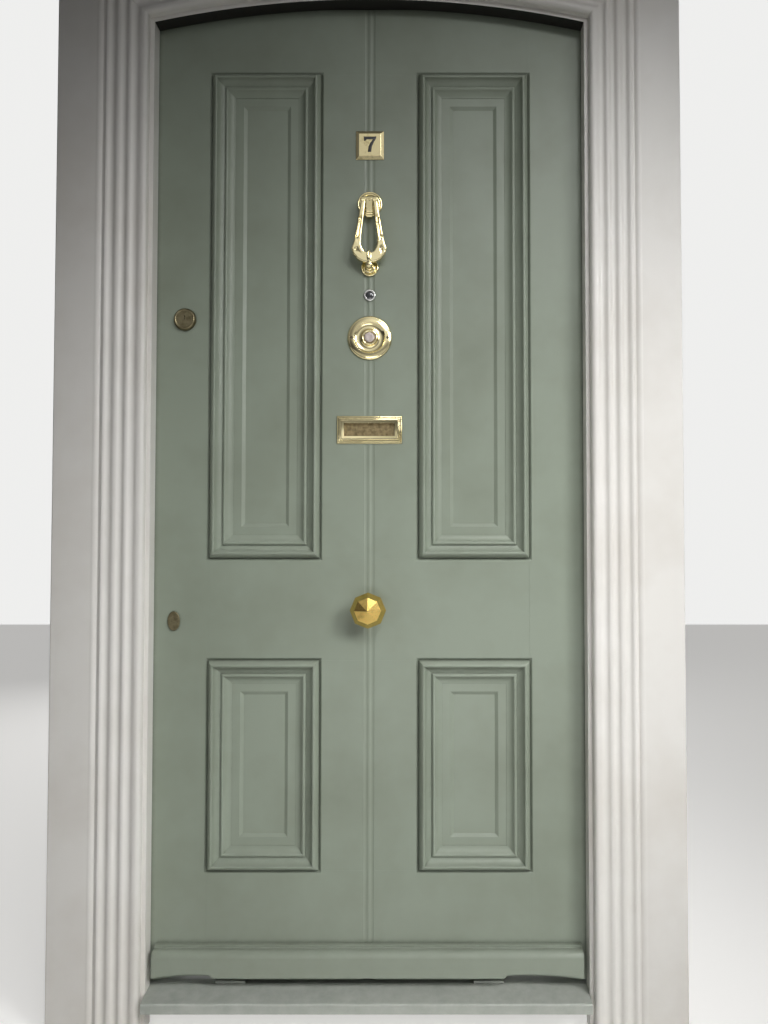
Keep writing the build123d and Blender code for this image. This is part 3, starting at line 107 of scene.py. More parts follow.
def makeCamera(setup):
    camera = bpy.data.objects.new("doorCamera", bpy.data.cameras.new("doorCamera"))
    bpy.context.scene.collection.objects.link(camera)
    camera.location = setup["place"]
    camera.rotation_euler = (math.radians(90 + setup["tiltUp"]), 0, 0)
    camera.data.sensor_fit = "VERTICAL"
    camera.data.sensor_height = setup["sensorTall"]
    camera.data.lens = setup["sensorTall"] * setup["focalPixels"] / setup["frameTall"]
    camera.data.shift_x = -setup["contentRight"] / setup["frameTall"]
    camera.data.clip_start = setup["nearest"]
    bpy.context.scene.camera = camera


def makeLamp(name, setup):
    data = bpy.data.lights.new(name, "AREA")
    data.shape = "RECTANGLE"
    data.size = setup["wide"]
    data.size_y = setup["tall"]
    data.energy = setup["watts"]
    data.spread = math.radians(setup["spread"])
    lamp = bpy.data.objects.new(name, data)
    bpy.context.scene.collection.objects.link(lamp)
    lamp.location = setup["place"]
    aimAt(lamp, setup["aim"])
    lamp.visible_camera = False
    lamp.visible_glossy = setup["mirrored"]


def makeRoomRamp(tree, direction, stops):
    # pale where the room is open, dark under its ceiling and towards its left wall
    level = addNode(tree, "ShaderNodeMath", {"operation": "MULTIPLY_ADD"}, {1: 0.5, 2: 0.5})
    ramp = addNode(tree, "ShaderNodeValToRGB")
    elements = ramp.color_ramp.elements
    while len(elements) < len(stops):
        elements.new(0.5)
    for element, (place, value) in zip(elements, stops):
        element.position = place
        element.color = (value, value, value, 1)
    tree.links.new(direction, level.inputs[0])
    tree.links.new(level.outputs[0], ramp.inputs[0])
    return ramp.outputs[0]


def makeRoom(setup):
    # a plain pale background, and a room that metal and glass mirror more brightly than it lights
    world = bpy.data.worlds.new("studio")
    bpy.context.scene.world = world
    world.use_nodes = True
    tree = world.node_tree
    tree.nodes.clear()
    path = addNode(tree, "ShaderNodeLightPath")
    seen = addNode(tree, "ShaderNodeMath", {"operation": "MAXIMUM"})
    direction = addNode(tree, "ShaderNodeTexCoord")
    split = addNode(tree, "ShaderNodeSeparateXYZ")
    light = addNode(tree, "ShaderNodeMix", {"data_type": "RGBA", "blend_type": "MULTIPLY"},
                    {"Factor": 1.0})
    strength = addNode(tree, "ShaderNodeMapRange", None,
                       {"To Min": setup["paintStrength"], "To Max": setup["metalStrength"]})
    room = addNode(tree, "ShaderNodeBackground")
    pale = addNode(tree, "ShaderNodeBackground", None, {"Color": setup["background"]})
    both = addNode(tree, "ShaderNodeMixShader")
    out = addNode(tree, "ShaderNodeOutputWorld")
    link = tree.links.new
    link(path.outputs["Is Camera Ray"], seen.inputs[0])
    link(path.outputs["Is Transmission Ray"], seen.inputs[1])
    link(direction.outputs["Generated"], split.inputs[0])
    link(makeRoomRamp(tree, split.outputs["Z"], setup["roomByHeight"]), light.inputs["A"])
    link(makeRoomRamp(tree, split.outputs["X"], setup["roomBySide"]), light.inputs["B"])
    link(path.outputs["Is Glossy Ray"], strength.inputs["Value"])
    link(light.outputs["Result"], room.inputs["Color"])
    link(strength.outputs[0], room.inputs["Strength"])
    link(seen.outputs[0], both.inputs[0])
    link(room.outputs[0], both.inputs[1])
    link(pale.outputs[0], both.inputs[2])
    link(both.outputs[0], out.inputs[0])


def makeFloor(setup):
    half = setup["size"] / 2
    height = setup["height"]
    mesh = bpy.data.meshes.new("floor")
    corners = [(-half, -half, height), (half, -half, height),
               (half, half, height), (-half, half, height)]
    mesh.from_pydata(corners, [], [(0, 1, 2, 3)])
    floor = bpy.data.objects.new("floor", mesh)
    bpy.context.scene.collection.objects.link(floor)
    material = bpy.data.materials.new("paleFloor")
    material.use_nodes = True
    tree = material.node_tree
    shader = tree.nodes["Principled BSDF"]
    shader.inputs["Base Color"].default_value = setup["colour"]
    shader.inputs["Roughness"].default_value = setup["roughness"]
    shader.inputs["Emission Color"].default_value = setup["colour"]
    path = addNode(tree, "ShaderNodeLightPath")
    seen = addNode(tree, "ShaderNodeMath", {"operation": "MAXIMUM"})
    glow = addNode(tree, "ShaderNodeMath", {"operation": "MULTIPLY"}, {1: setup["lift"]})
    tree.links.new(path.outputs["Is Camera Ray"], seen.inputs[0])
    tree.links.new(path.outputs["Is Glossy Ray"], seen.inputs[1])
    tree.links.new(seen.outputs[0], glow.inputs[0])
    tree.links.new(glow.outputs[0], shader.inputs["Emission Strength"])
    mesh.materials.append(material)


bpy.context.scene.view_settings.view_transform = "Standard"
makeCamera(cameraSetup)
for lampName, lampValues in lampSetup.items():
    makeLamp(lampName + "Lamp", lampValues)
makeRoom(roomSetup)
makeFloor(floorSetup)
print("camera, lamps and floor are in place")


# shader node groups that several finishes share

def newGroup(name, inputs, outputs):
    group = bpy.data.node_groups.new(name, "ShaderNodeTree")
    for label, kind, value in inputs:
        socket = group.interface.new_socket(label, in_out="INPUT", socket_type=kind)
        if value is not None:
            socket.default_value = value
    for label, kind in outputs:
        group.interface.new_socket(label, in_out="OUTPUT", socket_type=kind)
    return group, group.nodes.new("NodeGroupInput"), group.nodes.new("NodeGroupOutput")


def makeBrushStrokes():
    # long strokes left by the brush, a soft unevenness of tone, and fine orange peel
    group, start, end = newGroup(
        "brushStrokes",
        [("Vector", "NodeSocketVector", None), ("Stretch", "NodeSocketVector", (1, 1, 0.03)),
         ("Stroke Scale", "NodeSocketFloat", 420.0), ("Tone Scale", "NodeSocketFloat", 3.5)],
        [("Strokes", "NodeSocketFloat"), ("Tone", "NodeSocketFloat"), ("Peel", "NodeSocketFloat")],
    )
    drawn = addNode(group, "ShaderNodeVectorMath", {"operation": "MULTIPLY"})
    strokes = addNode(group, "ShaderNodeTexNoise", None, {"Detail": 3.0, "Roughness": 0.55})
    tone = addNode(group, "ShaderNodeTexNoise", None, {"Detail": 4.0, "Roughness": 0.6})
    peel = addNode(group, "ShaderNodeTexNoise", None, {"Scale": 900.0, "Detail": 1.0})
    link = group.links.new
    link(start.outputs["Vector"], drawn.inputs[0])
    link(start.outputs["Stretch"], drawn.inputs[1])
    link(drawn.outputs[0], strokes.inputs["Vector"])
    link(start.outputs["Stroke Scale"], strokes.inputs["Scale"])
    link(start.outputs["Vector"], tone.inputs["Vector"])
    link(start.outputs["Tone Scale"], tone.inputs["Scale"])
    link(start.outputs["Vector"], peel.inputs["Vector"])
    link(strokes.outputs[0], end.inputs["Strokes"])
    link(tone.outputs[0], end.inputs["Tone"])
    link(peel.outputs[0], end.inputs["Peel"])
    return group


def makeDustAndTopLight():
    # dust that settles on upward faces and towards the foot; where its colour is paler than the paint,
    # as on the door and the sill, it also stands for painted light from above on upward faces
    group, start, end = newGroup(
        "dustAndTopLight",
        [("Vector", "NodeSocketVector", None), ("Normal", "NodeSocketVector", None),
         ("Foot", "NodeSocketFloat", 0.0), ("Reach", "NodeSocketFloat", 0.25),
         ("Ledge", "NodeSocketFloat", 0.5)],
        [("Dust And Light", "NodeSocketFloat")],
    )
    place = addNode(group, "ShaderNodeSeparateXYZ")
    facing = addNode(group, "ShaderNodeSeparateXYZ")
    rise = addNode(group, "ShaderNodeMath", {"operation": "SUBTRACT"})
    share = addNode(group, "ShaderNodeMath", {"operation": "DIVIDE", "use_clamp": True})
    low = addNode(group, "ShaderNodeMath", {"operation": "SUBTRACT", "use_clamp": True}, {0: 1.0})
    up = addNode(group, "ShaderNodeMath", {"operation": "MULTIPLY", "use_clamp": True})
    both = addNode(group, "ShaderNodeMath", {"operation": "ADD", "use_clamp": True})
    patch = addNode(group, "ShaderNodeTexNoise", None,
                    {"Scale": 38.0, "Detail": 5.0, "Roughness": 0.65})
    broken = addNode(group, "ShaderNodeMath", {"operation": "MULTIPLY", "use_clamp": True})
    link = group.links.new
    link(start.outputs["Vector"], place.inputs[0])
    link(start.outputs["Normal"], facing.inputs[0])
    link(place.outputs["Z"], rise.inputs[0])
    link(start.outputs["Foot"], rise.inputs[1])
    link(rise.outputs[0], share.inputs[0])
    link(start.outputs["Reach"], share.inputs[1])
    link(share.outputs[0], low.inputs[1])
    link(facing.outputs["Z"], up.inputs[0])
    link(start.outputs["Ledge"], up.inputs[1])
    link(low.outputs[0], both.inputs[0])
    link(up.outputs[0], both.inputs[1])
    link(start.outputs["Vector"], patch.inputs["Vector"])
    link(both.outputs[0], broken.inputs[0])
    link(patch.outputs[0], broken.inputs[1])
    link(broken.outputs[0], end.inputs["Dust And Light"])
    return group


def makeTarnish():
    # cloudy darkening of a metal, and fine polishing scratches
    group, start, end = newGroup(
        "tarnish",
        [("Vector", "NodeSocketVector", None), ("Cloud Scale", "NodeSocketFloat", 60.0),
         ("Scratch Scale", "NodeSocketFloat", 700.0), ("Cover", "NodeSocketFloat", 0.5)],
        [("Cloud", "NodeSocketFloat"), ("Scratches", "NodeSocketFloat")],
    )
    cloud = addNode(group, "ShaderNodeTexNoise", None, {"Detail": 5.0, "Roughness": 0.6})
    raised = addNode(group, "ShaderNodeMath", {"operation": "ADD"})
    sharp = addNode(group, "ShaderNodeMapRange", None,
                    {"From Min": 0.85, "From Max": 1.25})
    drawn = addNode(group, "ShaderNodeVectorMath", {"operation": "MULTIPLY"}, {1: (1.0, 1.0, 0.08)})
    scratches = addNode(group, "ShaderNodeTexNoise", None, {"Detail": 2.0})
    link = group.links.new
    link(start.outputs["Vector"], cloud.inputs["Vector"])
    link(start.outputs["Cloud Scale"], cloud.inputs["Scale"])
    link(cloud.outputs[0], raised.inputs[0])
    link(start.outputs["Cover"], raised.inputs[1])
    link(raised.outputs[0], sharp.inputs["Value"])
    link(start.outputs["Vector"], drawn.inputs[0])
    link(drawn.outputs[0], scratches.inputs["Vector"])
    link(start.outputs["Scratch Scale"], scratches.inputs["Scale"])
    link(sharp.outputs[0], end.inputs["Cloud"])
    link(scratches.outputs[0], end.inputs["Scratches"])
    return group


def makeCreviceShadeAndGrime():
    # a mask of corners and recesses where ambient occlusion is low: painted shade on paint, and dirt
    # and polish that stay in the hollows of metal
    group, start, end = newGroup(
        "creviceShadeAndGrime",
        [("Vector", "NodeSocketVector", None), ("Occlusion", "NodeSocketFloat", 1.0),
         ("Untouched Above", "NodeSocketFloat", 0.85), ("Full Below", "NodeSocketFloat", 0.35),
         ("Patch Scale", "NodeSocketFloat", 150.0)],
        [("Crevice Mask", "NodeSocketFloat")],
    )
    patch = addNode(group, "ShaderNodeTexNoise", None, {"Detail": 4.0, "Roughness": 0.6})
    uneven = addNode(group, "ShaderNodeMath", {"operation": "MULTIPLY_ADD"}, {1: 0.3})
    shift = addNode(group, "ShaderNodeMath", {"operation": "SUBTRACT"}, {1: 0.15})
    creviceMask = addNode(group, "ShaderNodeMapRange", None, {"To Min": 1.0, "To Max": 0.0})
    link = group.links.new
    link(start.outputs["Vector"], patch.inputs["Vector"])
    link(start.outputs["Patch Scale"], patch.inputs["Scale"])
    link(patch.outputs[0], uneven.inputs[0])
    link(start.outputs["Occlusion"], uneven.inputs[2])
    link(uneven.outputs[0], shift.inputs[0])
    link(shift.outputs[0], creviceMask.inputs["Value"])
    link(start.outputs["Full Below"], creviceMask.inputs["From Min"])
    link(start.outputs["Untouched Above"], creviceMask.inputs["From Max"])
    link(creviceMask.outputs[0], end.inputs["Crevice Mask"])
    return group


brushStrokes = makeBrushStrokes()
creviceShadeAndGrime = makeCreviceShadeAndGrime()
dustAndTopLight = makeDustAndTopLight()
tarnish = makeTarnish()


# finishes: paint, metal, lacquer and the viewer's glass

paintSetup = {
    "door": {"colour": (0.266, 0.305, 0.242), "deep": (0.222, 0.252, 0.194), "dustAndLight": (0.36, 0.38, 0.33),
             "roughness": 0.42, "dustAndLightAmount": 0.35, "creviceShadeAmount": 0.6},
    # the sill's pale dust on its top is painted light from above as well as dust
    "sill": {"colour": (0.32, 0.35, 0.30), "deep": (0.25, 0.28, 0.24), "dustAndLight": (0.62, 0.63, 0.59),
             "roughness": 0.48, "dustAndLightAmount": 0.85, "creviceShadeAmount": 0.4},
    "frame": {"colour": (0.80, 0.78, 0.74), "deep": (0.72, 0.69, 0.64), "dustAndLight": (0.52, 0.48, 0.42),
              "roughness": 0.38, "dustAndLightAmount": 0.25, "creviceShadeAmount": 0.10},
    "upright": (1.0, 1.0, 0.03),       # how the strokes are stretched
    "level": (0.03, 1.0, 1.0),
    "any": (0.5, 0.5, 0.5),
    "strokeBump": 0.00009,             # metres, as the next two are
    "edgeRadius": 0.0011,
    "creviceReach": 0.010,
    "untouchedAbove": 0.9, "fullBelow": 0.3, "patchScale": 60.0,
    "paintedShadeShare": 0.32,               # of the deep colour, for the painted shade in corners and recesses
    "toneRange": (0.3, 0.58),          # of the noise, from the deep colour to the plain one
    "strokeRange": (0.3, 0.7),
    "sheenRange": (-0.05, 0.09),       # how the roughness changes along the strokes
    "peelShare": 0.3, "bumpStrength": 0.5, "specular": 0.45,
}


def newMaterial(name):
    material = bpy.data.materials.new(name)
    material.use_nodes = True
    tree = material.node_tree
    return material, tree, tree.nodes["Principled BSDF"], tree.links.new


def roundedNormal(tree, radius):
    return addNode(tree, "ShaderNodeBevel", {"samples": 6}, {"Radius": radius})


def makePaint(coat, soffitShade):
    # brushed paint with dust that reaches up from the foot and lies on ledges, a paler dust colour
    # there also being painted light from above, and painted shade in its corners and recesses
    material, tree, shader, link = newMaterial(coat["name"])
    setup = paintSetup[coat["paint"]]
    coords = addNode(tree, "ShaderNodeTexCoord")
    geometry = addNode(tree, "ShaderNodeNewGeometry")
    strokes = addNode(tree, "ShaderNodeGroup", {"node_tree": brushStrokes},
                      {"Stretch": paintSetup[coat["strokes"]]})
    dustAndLight = addNode(tree, "ShaderNodeGroup", {"node_tree": dustAndTopLight},
                   {"Foot": coat["foot"], "Reach": coat["reach"], "Ledge": coat["ledge"]})
    link(coords.outputs["Object"], strokes.inputs["Vector"])
    link(coords.outputs["Object"], dustAndLight.inputs["Vector"])
    link(geometry.outputs["Normal"], dustAndLight.inputs["Normal"])
    tone = addNode(tree, "ShaderNodeMix", {"data_type": "RGBA"})
    tone.inputs["A"].default_value = (*setup["deep"], 1)
    tone.inputs["B"].default_value = (*setup["colour"], 1)
    deepest, palest = paintSetup["toneRange"]
    spread = addNode(tree, "ShaderNodeMapRange", None, {"From Min": deepest, "From Max": palest})
    link(strokes.outputs["Tone"], spread.inputs["Value"])
    link(spread.outputs[0], tone.inputs["Factor"])
    # dust towards the foot and on ledges; where its colour is paler than the paint it is also painted
    # light from above on upward faces
    dustyAndLit = addNode(tree, "ShaderNodeMix", {"data_type": "RGBA"})
    dustyAndLit.inputs["B"].default_value = (*setup["dustAndLight"], 1)
    amount = addNode(tree, "ShaderNodeMath", {"operation": "MULTIPLY"}, {1: setup["dustAndLightAmount"]})
    link(dustAndLight.outputs["Dust And Light"], amount.inputs[0])
    link(amount.outputs[0], dustyAndLit.inputs["Factor"])
    link(tone.outputs["Result"], dustyAndLit.inputs["A"])
    # painted shade: corners, recesses and gaps between parts darken towards a deep colour where ambient
    # occlusion is low
    crevice = addNode(tree, "ShaderNodeAmbientOcclusion", {"samples": 8},
                      {"Distance": paintSetup["creviceReach"]})
    creviceMask = addNode(tree, "ShaderNodeGroup", {"node_tree": creviceShadeAndGrime},
                    {"Untouched Above": paintSetup["untouchedAbove"], "Full Below": paintSetup["fullBelow"],
                     "Patch Scale": paintSetup["patchScale"]})
    link(coords.outputs["Object"], creviceMask.inputs["Vector"])
    link(crevice.outputs["AO"], creviceMask.inputs["Occlusion"])
    shade = addNode(tree, "ShaderNodeMath", {"operation": "MULTIPLY"}, {1: setup["creviceShadeAmount"]})
    link(creviceMask.outputs["Crevice Mask"], shade.inputs[0])
    creviceShaded = addNode(tree, "ShaderNodeMix", {"data_type": "RGBA"})
    darkened = [value * paintSetup["paintedShadeShare"] for value in setup["deep"]]
    creviceShaded.inputs["B"].default_value = (*darkened, 1)
    link(shade.outputs[0], creviceShaded.inputs["Factor"])
    link(dustyAndLit.outputs["Result"], creviceShaded.inputs["A"])
    colour = creviceShaded.outputs["Result"]
    # painted shade: a near-black colour over the head's underside in front of the leaf, chosen by place
    if coat["paintedSoffitShade"]:
        place = addNode(tree, "ShaderNodeSeparateXYZ")
        within = addNode(tree, "ShaderNodeMath", {"operation": "COMPARE"},
                         {1: soffitShade["middle"], 2: soffitShade["reach"]})
        between = addNode(tree, "ShaderNodeMath", {"operation": "COMPARE"},
                          {1: 0.0, 2: soffitShade["halfWide"]})
        overLeaf = addNode(tree, "ShaderNodeMath", {"operation": "MULTIPLY"})
        below = addNode(tree, "ShaderNodeMath", {"operation": "LESS_THAN"}, {1: soffitShade["top"]})
        inside = addNode(tree, "ShaderNodeMath", {"operation": "MULTIPLY"})
        dark = addNode(tree, "ShaderNodeMix", {"data_type": "RGBA"})
        dark.inputs["B"].default_value = (*soffitShade["colour"], 1)
        link(coords.outputs["Object"], place.inputs[0])
        link(place.outputs["Y"], within.inputs[0])
        link(place.outputs["Z"], below.inputs[0])
        link(place.outputs["X"], between.inputs[0])
        link(within.outputs[0], overLeaf.inputs[0])
        link(between.outputs[0], overLeaf.inputs[1])
        link(overLeaf.outputs[0], inside.inputs[0])
        link(below.outputs[0], inside.inputs[1])
        link(inside.outputs[0], dark.inputs["Factor"])
        link(colour, dark.inputs["A"])
        colour = dark.outputs["Result"]
    link(colour, shader.inputs["Base Color"])
    smoothest, roughest = [setup["roughness"] + change for change in paintSetup["sheenRange"]]
    thin, thick = paintSetup["strokeRange"]
    sheen = addNode(tree, "ShaderNodeMapRange", None,
                    {"From Min": thin, "From Max": thick, "To Min": smoothest, "To Max": roughest})
    link(strokes.outputs["Strokes"], sheen.inputs["Value"])
    link(sheen.outputs[0], shader.inputs["Roughness"])
    relief = addNode(tree, "ShaderNodeMath", {"operation": "MULTIPLY_ADD"},
                     {1: paintSetup["peelShare"]})
    link(strokes.outputs["Peel"], relief.inputs[0])
    link(strokes.outputs["Strokes"], relief.inputs[2])
    bump = addNode(tree, "ShaderNodeBump", None,
                   {"Strength": paintSetup["bumpStrength"], "Distance": paintSetup["strokeBump"]})
    rounded = roundedNormal(tree, paintSetup["edgeRadius"])
    link(relief.outputs[0], bump.inputs["Height"])
    link(rounded.outputs[0], bump.inputs["Normal"])
    link(bump.outputs[0], shader.inputs["Normal"])
    shader.inputs["Specular IOR Level"].default_value = paintSetup["specular"]
    return material


metalSetup = {
    "polishedBrass": {"colour": (0.84, 0.74, 0.43), "aged": (0.13, 0.10, 0.03), "cover": 0.20,
                      "roughness": 0.10, "cloudScale": 55.0, "bump": 0.00003, "edge": 0.0005},
    "plateBrass": {"colour": (0.62, 0.54, 0.31), "aged": (0.22, 0.17, 0.06), "cover": 0.34,
                   "roughness": 0.11, "cloudScale": 70.0, "bump": 0.00003, "edge": 0.0005},
    "letterBrass": {"colour": (0.86, 0.76, 0.45), "aged": (0.10, 0.075, 0.02), "cover": 0.14,
                    "roughness": 0.09, "cloudScale": 60.0, "bump": 0.00003, "edge": 0.0003},
    "flapBrass": {"colour": (0.34, 0.27, 0.15), "aged": (0.06, 0.045, 0.02), "cover": 0.46,
                  "roughness": 0.42, "cloudScale": 120.0, "bump": 0.00003, "edge": 0.0004},
    "giltBrass": {"colour": (0.80, 0.56, 0.17), "aged": (0.20, 0.12, 0.02), "cover": 0.28,
                  "roughness": 0.20, "cloudScale": 45.0, "bump": 0.00003, "edge": 0.0007},
    "agedBrass": {"colour": (0.23, 0.20, 0.12), "aged": (0.07, 0.06, 0.03), "cover": 0.42,
                  "roughness": 0.36, "cloudScale": 90.0, "bump": 0.00004, "edge": 0.0005},
    "chrome": {"colour": (0.66, 0.66, 0.64), "aged": (0.20, 0.19, 0.17), "cover": 0.3,
               "roughness": 0.18, "cloudScale": 90.0, "bump": 0.00002, "edge": 0.0004},
    "satinSteel": {"colour": (0.42, 0.41, 0.39), "aged": (0.18, 0.16, 0.13), "cover": 0.4,
                   "roughness": 0.38, "cloudScale": 40.0, "bump": 0.00005, "edge": 0.0005},
    "darkScrew": {"colour": (0.16, 0.13, 0.08), "aged": (0.05, 0.04, 0.03), "cover": 0.5,
                  "roughness": 0.45, "cloudScale": 200.0, "bump": 0.00004, "edge": 0.0003},
}

wearSetup = {
    "creviceReach": 0.002,             # metres
    "untouchedAbove": 0.90, "fullBelow": 0.42, "patchScale": 300.0,
    "roughnessGain": 0.2,              # where the metal is tarnished or soiled
    "scratchStrength": 0.4,
}


def makeMetal(name):
    # cast or rolled metal: clouded, finely scratched, and dull in its recesses
    material, tree, shader, link = newMaterial(name)
    setup = metalSetup[name]
    coords = addNode(tree, "ShaderNodeTexCoord")
    age = addNode(tree, "ShaderNodeGroup", {"node_tree": tarnish},
                  {"Cloud Scale": setup["cloudScale"], "Cover": setup["cover"]})
    link(coords.outputs["Object"], age.inputs["Vector"])
    colour = addNode(tree, "ShaderNodeMix", {"data_type": "RGBA"})
    colour.inputs["A"].default_value = (*setup["colour"], 1)
    colour.inputs["B"].default_value = (*setup["aged"], 1)
    crevice = addNode(tree, "ShaderNodeAmbientOcclusion", {"samples": 8},
                      {"Distance": wearSetup["creviceReach"]})
    creviceMask = addNode(tree, "ShaderNodeGroup", {"node_tree": creviceShadeAndGrime},
                    {"Untouched Above": wearSetup["untouchedAbove"], "Full Below": wearSetup["fullBelow"],
                     "Patch Scale": wearSetup["patchScale"]})
    darkened = addNode(tree, "ShaderNodeMath", {"operation": "MAXIMUM"})
    link(coords.outputs["Object"], creviceMask.inputs["Vector"])
    link(crevice.outputs["AO"], creviceMask.inputs["Occlusion"])
    link(creviceMask.outputs["Crevice Mask"], darkened.inputs[0])
    link(age.outputs["Cloud"], darkened.inputs[1])
    link(darkened.outputs[0], colour.inputs["Factor"])
    link(colour.outputs["Result"], shader.inputs["Base Color"])
    worn = setup["roughness"] + wearSetup["roughnessGain"]
    rough = addNode(tree, "ShaderNodeMapRange", None, {"To Min": setup["roughness"], "To Max": worn})
    link(darkened.outputs[0], rough.inputs["Value"])
    link(rough.outputs[0], shader.inputs["Roughness"])
    bump = addNode(tree, "ShaderNodeBump", None,
                   {"Strength": wearSetup["scratchStrength"], "Distance": setup["bump"]})
    rounded = roundedNormal(tree, setup["edge"])
    link(age.outputs["Scratches"], bump.inputs["Height"])
    link(rounded.outputs[0], bump.inputs["Normal"])
    link(bump.outputs[0], shader.inputs["Normal"])
    shader.inputs["Metallic"].default_value = 1
    return material


plainSetup = {                         # moulded, lacquered and glazed surfaces
    "blackLacquer": {"colour": (0.022, 0.022, 0.022), "roughness": 0.32, "speckle": 0.3,
                     "bump": 0.00004},
    "contactBlack": {"colour": (0.03, 0.03, 0.03), "roughness": 0.5, "speckle": 0.2,
                     "bump": 0.00002},
    "engravedBlack": {"colour": (0.012, 0.010, 0.008), "roughness": 0.4, "speckle": 0.4,
                      "bump": 0.00003},
    "buttonGlaze": {"colour": (0.66, 0.57, 0.53), "roughness": 0.16, "speckle": 0.04,
                    "bump": 0.00001},
}

grainSetup = {"scale": 500.0, "strength": 0.5, "edge": 0.0006}


def makePlainFinish(name):
    # an even colour broken by a fine speckle
    material, tree, shader, link = newMaterial(name)
    setup = plainSetup[name]
    coords = addNode(tree, "ShaderNodeTexCoord")
    grain = addNode(tree, "ShaderNodeTexNoise", None, {"Scale": grainSetup["scale"], "Detail": 3.0})
    tone = addNode(tree, "ShaderNodeMix", {"data_type": "RGBA"})
    for socket, share in (("A", 1 - setup["speckle"]), ("B", 1 + setup["speckle"])):
        tone.inputs[socket].default_value = (*[value * share for value in setup["colour"]], 1)
    bump = addNode(tree, "ShaderNodeBump", None,
                   {"Strength": grainSetup["strength"], "Distance": setup["bump"]})
    rounded = roundedNormal(tree, grainSetup["edge"])
    link(coords.outputs["Object"], grain.inputs["Vector"])
    link(grain.outputs[0], tone.inputs["Factor"])
    link(tone.outputs["Result"], shader.inputs["Base Color"])
    link(grain.outputs[0], bump.inputs["Height"])
    link(rounded.outputs[0], bump.inputs["Normal"])
    link(bump.outputs[0], shader.inputs["Normal"])
    shader.inputs["Roughness"].default_value = setup["roughness"]
    return material


lensSetup = {
    "colour": (0.012, 0.013, 0.015), "hazed": (0.05, 0.055, 0.06), "hazeScale": 300.0,
    "roughness": (0.03, 0.16), "coatRoughness": 0.02,
}


def makeLensGlass(setup):
    # dark glass under a clear coat, as a viewer looks from outside
    material, tree, shader, link = newMaterial("viewerLens")
    coords = addNode(tree, "ShaderNodeTexCoord")
    haze = addNode(tree, "ShaderNodeTexNoise", None, {"Scale": setup["hazeScale"], "Detail": 3.0})
    clear, hazed = setup["roughness"]
    rough = addNode(tree, "ShaderNodeMapRange", None, {"To Min": clear, "To Max": hazed})
    colour = addNode(tree, "ShaderNodeMix", {"data_type": "RGBA"})
    colour.inputs["A"].default_value = (*setup["colour"], 1)
    colour.inputs["B"].default_value = (*setup["hazed"], 1)
    link(coords.outputs["Object"], haze.inputs["Vector"])
    link(haze.outputs[0], rough.inputs["Value"])
    link(haze.outputs[0], colour.inputs["Factor"])
    link(colour.outputs["Result"], shader.inputs["Base Color"])
    link(rough.outputs[0], shader.inputs["Roughness"])
    shader.inputs["Coat Weight"].default_value = 1
    shader.inputs["Coat Roughness"].default_value = setup["coatRoughness"]
    return material


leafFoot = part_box("lock_stile")[0].z
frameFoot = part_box("jamb_right")[0].z
soffitShadeSetup = {                        # painted shade: the head's underside in front of the leaf, coloured near black
    "middle": -0.0131, "reach": 0.0181, "halfWide": 0.470,
    "top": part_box("frame_head")[0].z + 0.062, "colour": (0.012, 0.011, 0.009),
}

coatSetup = {                          # dust reaches this far above the foot, and lies on ledges, where a paler dust also stands for painted light from above
    "doorUpright": {"name": "doorPaintUpright", "paint": "door", "strokes": "upright",
                    "foot": leafFoot, "reach": 0.22, "ledge": 0.5, "paintedSoffitShade": False},
    "doorLevel": {"name": "doorPaintLevel", "paint": "door", "strokes": "level",
                  "foot": leafFoot, "reach": 0.22, "ledge": 0.5, "paintedSoffitShade": False},
    "doorFine": {"name": "doorPaintFine", "paint": "door", "strokes": "any",
                 "foot": leafFoot, "reach": 0.22, "ledge": 0.8, "paintedSoffitShade": False},
    "sill": {"name": "sillPaint", "paint": "sill", "strokes": "level",
             "foot": 0.0, "reach": 0.08, "ledge": 0.9, "paintedSoffitShade": False},
    "frameUpright": {"name": "framePaintUpright", "paint": "frame", "strokes": "upright",
                     "foot": frameFoot, "reach": 0.3, "ledge": 0.5, "paintedSoffitShade": False},
    "frameHead": {"name": "framePaintHead", "paint": "frame", "strokes": "level",
                  "foot": frameFoot, "reach": 0.3, "ledge": 0.3, "paintedSoffitShade": True},
}

finishes = {"viewerLens": makeLensGlass(lensSetup)}
for coatName, coatValues in coatSetup.items():
    finishes[coatName] = makePaint(coatValues, soffitShadeSetup)
for plainName in plainSetup:
    finishes[plainName] = makePlainFinish(plainName)
for metalName in metalSetup:
    finishes[metalName] = makeMetal(metalName)

finishOf = {
    "doorUpright": ["lock_stile", "hinge_stile", "upper_muntin", "lower_muntin", "centre_bead",
                    "panel_upper_left", "panel_upper_right", "panel_lower_left", "panel_lower_right"],
    "doorLevel": ["top_rail", "lock_rail", "bottom_rail", "weatherboard"],
    "doorFine": ["moulding_upper_left", "moulding_upper_right", "moulding_lower_left",
                 "moulding_lower_right", "inside_beads"],
    "sill": ["sill", "sill_pads"],
    "frameUpright": ["jamb_left", "jamb_right", "casing_left", "casing_right"],
    "frameHead": ["frame_head", "casing_head"],
    "plateBrass": ["number_plate"],
    "polishedBrass": ["bell_rose", "letter_frame", "knocker_rose", "knocker_pin",
                      "knocker_strike", "knocker_loop"],
    "flapBrass": ["letter_flap", "letter_rod"],
    "giltBrass": ["centre_knob", "knob_rose"],
    "agedBrass": ["cylinder_ring", "cylinder_body", "cylinder_plug", "keyhole_plates",
                  "keyhole_cover", "latch_turn"],
    "chrome": ["viewer_barrel"],
    "viewerLens": ["viewer_lens"],
    "buttonGlaze": ["bell_button"],
    "contactBlack": ["bell_contact"],
    "darkScrew": ["bell_screws"],
    "blackLacquer": ["latch_case", "latch_keep"],
    "satinSteel": ["latch_bolt", "mortice_case", "mortice_bolt", "strike_plate", "knob_nut",
                   "hinge_door_leaves", "hinge_frame_leaves", "hinge_pins", "leaf_screws",
                   "frame_screws"],
}

